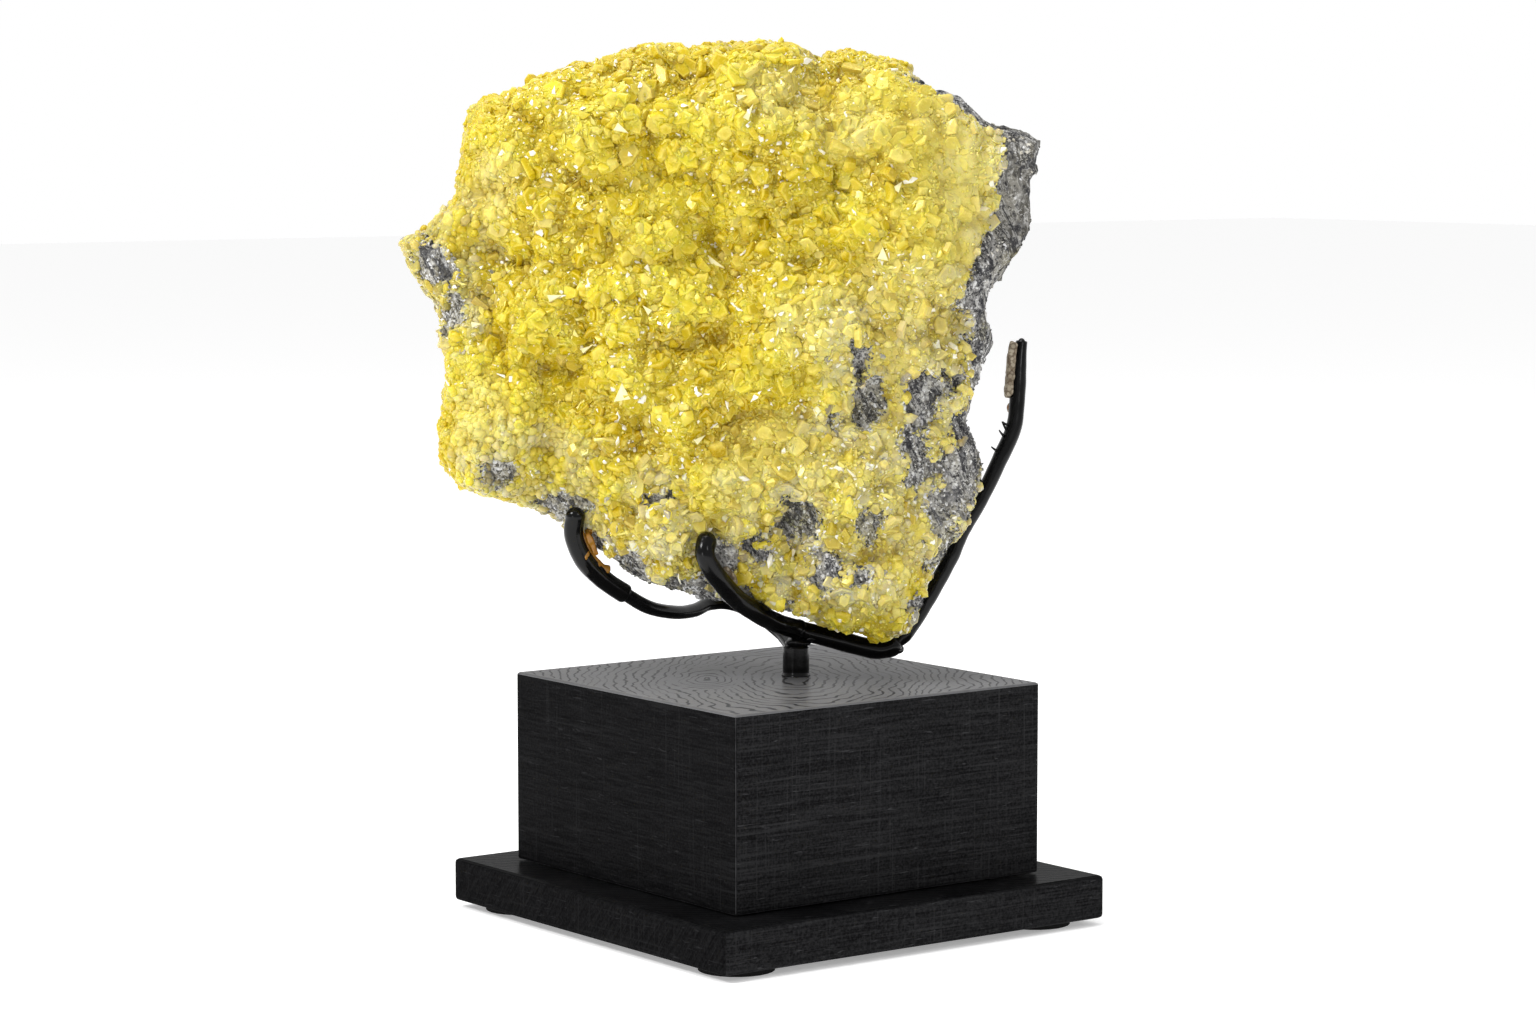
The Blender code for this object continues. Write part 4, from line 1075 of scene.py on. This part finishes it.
def build_glints(perches, bright, rng):
    """Painted glints: small white tablets and splinters lying on the tops of flakes, in loose
    clusters.
    """
    tops, owns, radii, bare, waxy = (np.concatenate(column) for column in zip(*perches))
    crowd = smooth_step(layered(tops, 140, (16.0, 1.0), (6.0, 0.5)), -0.5, 0.6)
    chance = (0.12 + crowd) * (1 - 0.85 * waxy) * (1 - 0.6 * bare) * (tops[:, 1] < -6)
    chosen = rng.choice(len(tops), GLINTS, replace=False, p=chance / chance.sum())
    axes = turned_axes(owns[chosen], 0.25, rng)
    size = 0.38 + 0.75 * rng.random(GLINTS) ** 2.4
    long = np.where(rng.random(GLINTS) < 0.3, rng.uniform(1.5, 2.8, GLINTS), 1.0)
    sizes = size[:, None] * np.column_stack([long, rng.uniform(0.6, 0.9, GLINTS),
                                             rng.uniform(0.4, 0.7, GLINTS)])
    aside = rng.uniform(-0.45, 0.45, (GLINTS, 2)) * radii[chosen][:, None]
    spots = tops[chosen] + aside[:, :1] * axes[:, 0] + aside[:, 1:] * axes[:, 1]
    # painted glints: the chips are coloured white or pale
    colour = np.where(rng.random((GLINTS, 1)) < 0.6, HIGHLIGHT_WHITE, RIM_HIGHLIGHT_AND_FROST)
    scatter("white_glints", spots, axes, sizes, colour, make_forms(rng, tablet=8, grain=4), 0.0,
            bright, rim=0.2, root=0.2)


def build_plates(centre, bright, rng):
    """The few large bright plates, painted near white as highlights, each lying on the front of
    the crust and leaning its own way.
    """
    front = centre[centre[:, 1] < -8]
    spots, axes, sizes = [], [], []
    for x, z, length, width, turn, lean_x, lean_z in BRIGHT_PLATES:
        off = np.hypot(front[:, 0] - x, front[:, 2] - z)
        spots.append(front[np.argmin(off)] - (0, PLATE_PROUD, 0))
        own = np.array((lean_x, -1.0, lean_z)) / math.sqrt(1 + lean_x ** 2 + lean_z ** 2)
        side = np.array((math.cos(math.radians(turn)), 0.0, math.sin(math.radians(turn))))
        side = side - own * (side @ own)
        side /= np.linalg.norm(side)
        axes.append((side, np.cross(own, side), own))
        sizes.append((length / 2, width / 2, PLATE_THICK))
    # painted highlight: the plates are coloured near white
    colour = np.tile(RIM_HIGHLIGHT_AND_FROST + (HIGHLIGHT_WHITE - RIM_HIGHLIGHT_AND_FROST) * 0.55, (len(spots), 1))
    scatter("bright_plates", np.array(spots), np.array(axes), np.array(sizes), colour,
            make_forms(rng, plate=4), 0.0, bright, rim=0.5, root=0.6)


# --- materials ------------------------------------------------------------------------------

class Value:
    """Output of a node, on which sums can be written as on a number."""

    def __init__(self, graph, socket):
        self.graph = graph
        self.socket = socket

    def __add__(self, other):
        return self.graph.maths("ADD", self, other)

    def __sub__(self, other):
        return self.graph.maths("SUBTRACT", self, other)

    def __rsub__(self, other):
        return self.graph.maths("SUBTRACT", other, self)

    def __mul__(self, other):
        return self.graph.maths("MULTIPLY", self, other)

    def other(self, name):
        """Another output of the same node."""
        return Value(self.graph, self.socket.node.outputs[name])


class Graph:
    """Nodes added one by one to a tree."""

    def __init__(self, tree):
        self.tree = tree

    def add(self, kind, values, output=0, **settings):
        """Output of a new node: settings are its own properties, values go into its sockets."""
        node = self.tree.nodes.new("ShaderNode" + kind)
        for key, value in settings.items():
            setattr(node, key, value)
        self.fill(node, values)
        return Value(self, node.outputs[output])

    def fill(self, node, values):
        """Put a value into each named socket, or link it where it is another node's output."""
        for key, value in values.items():
            if isinstance(value, Value):
                self.tree.links.new(value.socket, node.inputs[key])
            else:
                node.inputs[key].default_value = value

    def maths(self, operation, *inputs, clamp=False):
        """One sum on numbers."""
        return self.add("Math", dict(enumerate(inputs)), operation=operation, use_clamp=clamp)

    def vector(self, operation, *inputs, output=0):
        """One sum on vectors."""
        return self.add("VectorMath", dict(enumerate(inputs)), output, operation=operation)


class Finish(Graph):
    """Material built round one Principled shader."""

    def __init__(self, name):
        self.material = bpy.data.materials.new(name)
        self.material.use_nodes = True
        super().__init__(self.material.node_tree)
        self.place = self.add("TexCoord", {}, "Object")

    def shaded(self, values):
        """Set the shader's own sockets, and give the finished material."""
        self.fill(self.tree.nodes["Principled BSDF"], values)
        return self.material

    def shade(self):
        """Colour that each point of the piece carries."""
        return self.add("Attribute", {}, "Color", attribute_name="shade")

    def mapped(self, scale=(1, 1, 1), location=(0, 0, 0), turn=(0, 0, 0)):
        """Object coordinates turned about a place, taken from it and stretched, in that order."""
        turned = self.add("VectorRotate", {"Vector": self.place, "Center": location,
                                           "Rotation": turn}, rotation_type="EULER_XYZ")
        moved = self.vector("ADD", turned, tuple(-c for c in location))
        return self.vector("MULTIPLY", moved, scale)

    def noise(self, scale, detail=3.0, rough=0.55, vector=None, warp=0.0):
        """Fractal noise, 0..1."""
        return self.add("TexNoise", {"Vector": vector or self.place, "Scale": scale,
                                     "Detail": detail, "Roughness": rough, "Distortion": warp},
                        "Fac")

    def ramp(self, value, low, high, to_low=0.0, to_high=1.0):
        """Value stretched from low..high to to_low..to_high, smoothly."""
        return self.add("MapRange", {"Value": value, "From Min": low, "From Max": high,
                                     "To Min": to_low, "To Max": to_high},
                        interpolation_type="SMOOTHSTEP")

    def mix(self, share, a, b):
        """Colour between a and b."""
        a, b = (c if isinstance(c, Value) else (*c, 1.0) for c in (a, b))
        return self.add("Mix", {0: share, 6: a, 7: b}, 2, data_type="RGBA")

    def bump(self, height, depth, strength=1.0, under=None):
        """Bumped normal, over another one where it is given."""
        values = {"Height": height, "Distance": depth, "Strength": strength}
        if under is not None:
            values["Normal"] = under
        return self.add("Bump", values)


def sulfur_shader(finish, colour, roughness, subsurface, grain_depth, facets=None):
    """Frosted, finely grained sulfur over soft light that has passed under the surface."""
    frost = finish.noise(900.0, 3.0, 0.6)
    colour = finish.mix(finish.ramp(frost, 0.56, 0.74, 0.0, 0.5), colour,
                        finish.mix(0.5, finish.shade(), RIM_HIGHLIGHT_AND_FROST))
    grain = finish.noise(1500.0, 4.0, 0.6)
    return finish.shaded({
        "Base Color": colour, "Roughness": finish.ramp(frost, 0.35, 0.7, *roughness),
        "IOR": 1.6, "Specular Tint": (1.0, 0.9, 0.42, 1.0),
        "Subsurface Weight": subsurface, "Subsurface Radius": (1.0, 0.72, 0.16),
        "Subsurface Scale": 0.0014, "Normal": finish.bump(grain, grain_depth, 0.5, facets),
    })


def crystal_finish():
    """Resinous translucent crystals: the shade attribute, clouded with gold."""
    finish = Finish("sulfur_crystal")
    shade = finish.shade()
    colour = finish.mix(finish.ramp(finish.noise(260.0), 0.60, 0.32, 0.0, 0.7), shade,
                        finish.mix(0.4, shade, GOLDEN))
    return sulfur_shader(finish, colour, (0.16, 0.36), 0.45, 0.00004)


def crust_finish():
    """Waxy translucent crust: the shade attribute over packed flat facets of two sizes, each one
    tilted and tinted at random, with painted pale highlight lines where two of them meet."""
    finish = Finish("sulfur_crust")
    shade = finish.shade()
    drift = finish.add("TexNoise", {"Vector": finish.place, "Scale": 170.0, "Detail": 2.0}, "Color")
    moved = finish.vector("MULTIPLY_ADD", drift, (0.004, 0.004, 0.004), finish.place)
    colour, slopes = shade, []
    for scale, tilt, line in ((210.0, 1.0, 0.05), (480.0, 0.4, 0.08)):
        where = {"Vector": moved, "Scale": scale}
        centre = finish.add("TexVoronoi", where, "Position")
        seam = finish.add("TexVoronoi", where, "Distance", feature="DISTANCE_TO_EDGE")
        tint = centre.other("Color")
        offset = finish.vector("MULTIPLY", finish.vector("SUBTRACT", moved, centre), (scale,) * 3)
        way = finish.vector("SUBTRACT", tint, (0.5, 0.5, 0.5))
        slopes.append(finish.vector("DOT_PRODUCT", offset, way, output="Value") * tilt)
        red = finish.add("SeparateXYZ", {0: tint})
        # painted highlight: pale lines on the seams; the pale and golden cells are the crust's own
        # tone
        for pick, share, towards in (
                (finish.ramp(red, 0.55, 1.0, 0.0, 0.55), 0.45, PALE),
                (finish.ramp(red.other(1), 0.65, 1.0, 0.0, 0.6), 0.5, GOLDEN),
                (finish.ramp(seam, line, 0.0, 0.0, 0.38), 0.5, RIM_HIGHLIGHT_AND_FROST)):
            colour = finish.mix(pick, colour, finish.mix(share, shade, towards))
    facets = finish.bump(slopes[0] + slopes[1], 0.0009, 0.6)
    return sulfur_shader(finish, colour, (0.2, 0.42), 0.6, 0.00006, facets)


def bright_finish():
    """Pale crystal faces painted nearly white as glints and highlights, glossy and a little clouded.
    """
    finish = Finish("bright_sulfur")
    clouds = finish.noise(700.0, 2.0)
    return finish.shaded({
        "Base Color": finish.mix(finish.ramp(clouds, 0.5, 0.8, 0.0, 0.5), finish.shade(), RIM_HIGHLIGHT_AND_FROST),
        "Roughness": 0.12, "IOR": 1.8, "Normal": finish.bump(clouds, 0.00004, 0.3),
    })


def marl_finish():
    """Dull grey marl: the shade attribute, banded and specked with white, with white lines along
    two levels of the slanting bands, dark hearts and dark flecks, and a rough grain."""
    finish = Finish("grey_marl")
    slanted = finish.mapped((1.0, 1.0, 0.2), turn=(0.25, 0.35, -CLAW_TURN))
    streaks = finish.noise(800.0, 4.0, 0.6, slanted, 0.5)
    bands = finish.noise(230.0, 3.0, 0.55, slanted, 1.2)
    dark_flecks = finish.noise(700.0, 3.0, 0.6)
    crowd = finish.ramp(finish.noise(150.0), 0.42, 0.60, 0.15, 0.85)
    specks = finish.ramp(finish.noise(1400.0, 3.0, 0.65), 0.575, 0.62) * crowd
    lines = [finish.ramp(finish.maths("ABSOLUTE", bands - level), 0.012, 0.002)
             for level in (0.47, 0.55)]
    lines = finish.maths("MAXIMUM", *lines) * crowd * 0.75
    colour = finish.shade()
    for share, towards in ((finish.ramp(bands, 0.54, 0.42, 0.0, 0.85), SLATE * 0.6),
                           (finish.ramp(streaks, 0.54, 0.64, 0.0, 0.45), CHALK),
                           (finish.ramp(bands, 0.57, 0.63, 0.0, 0.4), DUST),
                           (lines, CHALK), (specks, CHALK),
                           (finish.ramp(dark_flecks, 0.45, 0.33, 0.0, 0.85), (0.03, 0.03, 0.034))):
        colour = finish.mix(share, colour, towards)
    lumps = finish.bump(finish.noise(330.0, 5.0, 0.6), 0.0009, 0.9)
    return finish.shaded({
        "Base Color": colour, "Roughness": finish.ramp(dark_flecks, 0.3, 0.7, 0.9, 0.6),
        "Specular IOR Level": 0.3,
        "Normal": finish.bump(finish.noise(1300.0, 6.0, 0.7), 0.0003, 0.7, lumps),
    })


def edge_mask(finish, centre, half, width):
    """1 along the edges of an upright box, 0 elsewhere: the second nearest of its six sides is
    within the width, because two sides meet at an edge."""
    place = finish.vector("ABSOLUTE", finish.vector("ADD", finish.place, tuple(-centre)))
    out = finish.add("SeparateXYZ", {0: place})
    x, y, z = (finish.maths("SUBTRACT", half[k], out.other(k)) for k in range(3))
    pairs = [finish.maths("MAXIMUM", *pair) for pair in ((x, y), (y, z), (x, z))]
    second = finish.maths("MINIMUM", finish.maths("MINIMUM", *pairs[:2]), pairs[2])
    return finish.ramp(second, width, width * 0.3)


def growth_rings(finish, middle, stretch, pitch):
    """Distance from the rings' middle, and a wave of 0..1 that runs through it once a pitch and is
    bent by noise."""
    turned = finish.mapped(stretch, middle, (0, 0, -CLAW_TURN))
    spread = finish.vector("LENGTH", turned, output="Value")
    bend = (finish.noise(38.0, 3.0, 0.5) - 0.5) * RING_BEND
    run = (spread + bend) * (2 * math.pi / pitch)
    return spread, finish.maths("SINE", run) * 0.5 + 0.5


def wood_finish(name, low, high, rings):
    """Black stained wood of an upright box from low to high.

    The sides have fine level grain with light dashes, crossed by a few faint upright lines, and
    the end grain on the left is darker and slants. The top has growth rings about the post, drawn
    out across the view, on greys painted lighter than the sides as a painted sheen; where rings is
    false it has plain grain, darkened towards black as painted shade. Along the edges it is paler,
    partly from wear and partly as a painted highlight."""
    finish = Finish(name)
    low, high = np.array(low), np.array(high)
    centre, half = (low + high) / 2, (high - low) / 2
    place = finish.add("SeparateXYZ", {0: finish.place})
    on_top = finish.maths("GREATER_THAN", place.other(2), high[2] - FACE_DEPTH)
    on_left = finish.maths("LESS_THAN", place, low[0] + FACE_DEPTH)

    def grain_along(scale, about=(0, 0, 0), slant=0.0):
        """Fine grain drawn out along a side."""
        return finish.noise(1.0, 4.0, 0.65, finish.mapped(scale, about, (slant, 0, 0)), 0.5)

    def fibres(scale, warp):
        """Coarser streaks, drawn out in the same way."""
        return finish.noise(1.0, 2.0, 0.5, finish.mapped(scale), warp)

    level = grain_along((45.0, 45.0, 1700.0))
    sloped = grain_along((45.0, 90.0, 1500.0), centre, 0.0 if rings else END_GRAIN_SLANT)
    grain = (on_left * sloped + (1.0 - on_left) * level + finish.noise(1300.0, 4.0, 0.65)) * 0.5
    dashes = finish.ramp(fibres((160.0, 160.0, 1500.0), 0.8), 0.64, 0.74)
    threads = finish.maths("MAXIMUM", fibres((1100.0, 1100.0, 22.0), 0.1),
                           fibres((26.0, 26.0, 1000.0), 0.1))
    weave = finish.ramp(threads, 0.56, 0.70) * finish.ramp(finish.noise(60.0, 2.0), 0.38, 0.6,
                                                           0.25, 1.0)
    side_lines = grain + weave * 0.13

    post = np.array(POST_CENTRE[:2])
    middle = (*(post + RING_SHIFT if rings else centre[:2] + PLATE_GRAIN_SHIFT), 0.0)
    stretch = (1.0, 0.40, 0.0) if rings else (0.25, 1.0, 0.0)
    _, wide = growth_rings(finish, middle, stretch, RING_PITCH)
    spread, swirl = growth_rings(finish, (*(post + SWIRL_SHIFT), 0.0), stretch, SWIRL_PITCH)
    in_swirl = finish.ramp(spread, *SWIRL_EDGE)
    wave = in_swirl * swirl + (1.0 - in_swirl) * wide
    inner = 1.0 - edge_mask(finish, centre, half, RING_MARGIN)
    depth = finish.ramp(wave, 0.22, 0.0) * finish.ramp(finish.noise(70.0), 0.36, 0.58, 0.25, 0.8)
    top_fine = finish.noise(1.0, 4.0, 0.65, finish.mapped((350.0, 1100.0, 0.0), middle,
                                                         (0, 0, -CLAW_TURN)))
    top_lines = finish.maths("SUBTRACT", top_fine * 0.5 + 0.40, depth * inner, clamp=True)

    colour = finish.mix(finish.ramp(side_lines, 0.34, 0.70), *SIDE_GREYS)
    colour = finish.mix(dashes * 0.6, colour, DASH_GREY)
    colour = finish.mix(on_left * 0.58, colour, DEEP_BLACK)
    if rings:
        # painted light: the block's top is painted lighter, standing in for its sheen
        painted_top_sheen = finish.mix(finish.ramp(top_lines, 0.0, 0.80), *TOP_SHEEN_GREYS)
        colour = finish.mix(on_top, colour, painted_top_sheen)
    else:
        # painted shade: the plate's top is darkened towards black
        colour = finish.mix(on_top * 0.65, colour, DEEP_BLACK)
    # paler along the edges: partly wear, partly a painted highlight
    wear_and_highlight = edge_mask(finish, centre, half, WEAR_AND_HIGHLIGHT_EDGE)
    wear_and_highlight = wear_and_highlight * finish.ramp(finish.noise(260.0, 4.0), 0.35, 0.65, 0.35, 0.9)
    return finish.shaded({
        "Base Color": finish.mix(wear_and_highlight, colour, EDGE_GREY),
        "Roughness": finish.ramp(on_top, 0.0, 1.0, 0.5, 0.30),
        "Specular IOR Level": 0.05 if rings else 0.025, "IOR": 1.2,
        "Normal": finish.bump(finish.mix(on_top, side_lines, top_lines), 0.0002, 0.5),
    })


def coated_finish(name, roughness, grey, streak):
    """Black coating with faint long streaks and small dimples."""
    finish = Finish(name)
    patches = finish.noise(120.0, 4.0)
    return finish.shaded({
        "Base Color": finish.mix(finish.ramp(patches, 0.4, 0.7, 0.0, streak), (grey,) * 3,
                                 (0.012, 0.012, 0.013)),
        "Roughness": finish.ramp(patches, 0.3, 0.7, roughness, roughness + 0.12),
        "Specular IOR Level": 0.22, "Normal": finish.bump(finish.noise(850.0), 0.00006, 0.4),
    })


def cork_finish():
    """Cork: warm granules of different browns with dark gaps."""
    finish = Finish("cork")
    gap = finish.add("TexVoronoi", {"Vector": finish.place, "Scale": 900.0}, "Distance")
    tone = finish.add("SeparateXYZ", {0: gap.other("Color")})
    colour = finish.mix(tone, (0.20, 0.155, 0.10), (0.46, 0.40, 0.30))
    return finish.shaded({
        "Base Color": finish.mix(finish.ramp(gap, 0.45, 0.75, 0.0, 0.7), colour,
                                 (0.07, 0.035, 0.015)),
        "Roughness": 0.85, "Normal": finish.bump(gap, 0.0003, 0.6),
    })


def glue_finish():
    """Amber glue: shiny, half clear."""
    finish = Finish("amber_glue")
    clouds = finish.noise(600.0)
    return finish.shaded({
        "Base Color": finish.mix(clouds, (0.22, 0.09, 0.005), (0.38, 0.18, 0.015)),
        "Roughness": 0.22, "Subsurface Weight": 0.4, "Subsurface Radius": (1.0, 0.5, 0.1),
        "Subsurface Scale": 0.0015, "Normal": finish.bump(clouds, 0.0002, 0.4),
    })


def felt_finish():
    """Dark felt of the feet: fine fuzz."""
    finish = Finish("dark_felt")
    fuzz = finish.noise(2400.0, 4.0, 0.7)
    return finish.shaded({
        "Base Color": finish.mix(fuzz, (0.006, 0.006, 0.006), (0.03, 0.03, 0.03)),
        "Roughness": 0.95, "Specular IOR Level": 0.1, "Normal": finish.bump(fuzz, 0.0003, 0.8),
    })


# --- studio ---------------------------------------------------------------------------------

def linked(name, data):
    """Object that holds the data, linked into the scene."""
    made = bpy.data.objects.new(name, data)
    bpy.context.scene.collection.objects.link(made)
    return made


def build_camera():
    """Camera level with the stone, looking slightly down, in front of the claw."""
    back = Vector((math.sin(CAMERA_TURN), -math.cos(CAMERA_TURN), 0.0))
    right = Vector((math.cos(CAMERA_TURN), math.sin(CAMERA_TURN), 0.0))
    data = bpy.data.cameras.new("camera")
    data.lens = LENS
    data.sensor_width = 36.0
    data.clip_end = 50.0
    camera = linked("camera", data)
    centre = Vector((BASE_CENTRE[0], BASE_CENTRE[1], 0.0))
    camera.location = centre + back * CAMERA_DISTANCE + right * CAMERA_SIDESTEP
    camera.location.z = CAMERA_HEIGHT
    forward = -back * math.cos(CAMERA_PITCH) - Vector((0, 0, math.sin(CAMERA_PITCH)))
    camera.rotation_euler = forward.to_track_quat("-Z", "Y").to_euler()
    bpy.context.scene.camera = camera
    return back, right


def build_floor():
    """Pale paper under the stand, which glows a little."""
    mesh = bpy.data.meshes.new("floor")
    corners = [(-FLOOR_HALF, -FLOOR_HALF, 0), (FLOOR_HALF, -FLOOR_HALF, 0),
               (FLOOR_HALF, FLOOR_HALF, 0), (-FLOOR_HALF, FLOOR_HALF, 0)]
    mesh.from_pydata(corners, [], [(0, 1, 2, 3)])
    floor = linked("floor", mesh)
    paper = bpy.data.materials.new("paper")
    paper.use_nodes = True
    Graph(paper.node_tree).fill(paper.node_tree.nodes["Principled BSDF"], {
        "Base Color": (0.92, 0.92, 0.92, 1.0), "Roughness": 0.6, "Specular IOR Level": 0.0,
        "Emission Color": (1.0, 1.0, 1.0, 1.0), "Emission Strength": PAPER_GLOW,
    })
    mesh.materials.append(paper)


def build_world(back):
    """White surroundings, brighter behind the stone than in front of it, and plain white where
    the camera sees them."""
    world = bpy.data.worlds.new("studio")
    bpy.context.scene.world = world
    world.use_nodes = True
    graph = Graph(world.node_tree)
    way = graph.add("TexCoord", {}, "Generated")
    facing = graph.vector("DOT_PRODUCT", way, -back, output="Value")
    glow = graph.add("MapRange", {"Value": facing, "From Min": -0.2, "From Max": 0.8,
                                  "To Min": FRONT_GLOW, "To Max": BACK_GLOW})
    seen = graph.maths("MAXIMUM", glow, graph.add("LightPath", {}, "Is Camera Ray"))
    graph.fill(world.node_tree.nodes["Background"],
               {"Color": (1.0, 1.0, 1.0, 1.0), "Strength": seen})


def build_studio():
    """Camera, pale floor, white surroundings and soft square lamps that face the stand."""
    back, right = build_camera()
    build_floor()
    build_world(back)
    middle = Vector((BASE_CENTRE[0], BASE_CENTRE[1], LAMP_TARGET))
    for name, (behind, sideways, above), size, power in LAMPS:
        data = bpy.data.lights.new(name, "AREA")
        data.size = size
        data.energy = power
        lamp = linked(name, data)
        lamp.location = middle - back * behind + right * sideways + Vector((0, 0, above))
        lamp.rotation_euler = (middle - lamp.location).to_track_quat("-Z", "Y").to_euler()
    bpy.context.scene.view_settings.view_transform = "Standard"


def set_finish(material, *nodes):
    """Give CAD nodes their finish."""
    for node in nodes:
        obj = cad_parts[node]
        obj.data.materials.clear()
        obj.data.materials.append(material)


def main():
    """Dress the whole part."""
    build_studio()
    steel = coated_finish("black_coated_steel", 0.13, 0.002, 0.25)
    rubber = coated_finish("black_rubber", 0.10, 0.0015, 0.15)
    build_rods(steel, rubber, cork_finish(), glue_finish())

    marl = marl_finish()
    rock = build_rock(crust_finish(), marl)
    build_crystals(rock, crystal_finish(), bright_finish(), marl)

    set_finish(wood_finish("block_wood", BLOCK_LOW, BLOCK_HIGH, True), "base_block")
    set_finish(wood_finish("plate_wood", PLATE_LOW, PLATE_HIGH, False), "base_plate")
    set_finish(felt_finish(), "foot_front", "foot_right", "foot_back", "foot_left")


main()
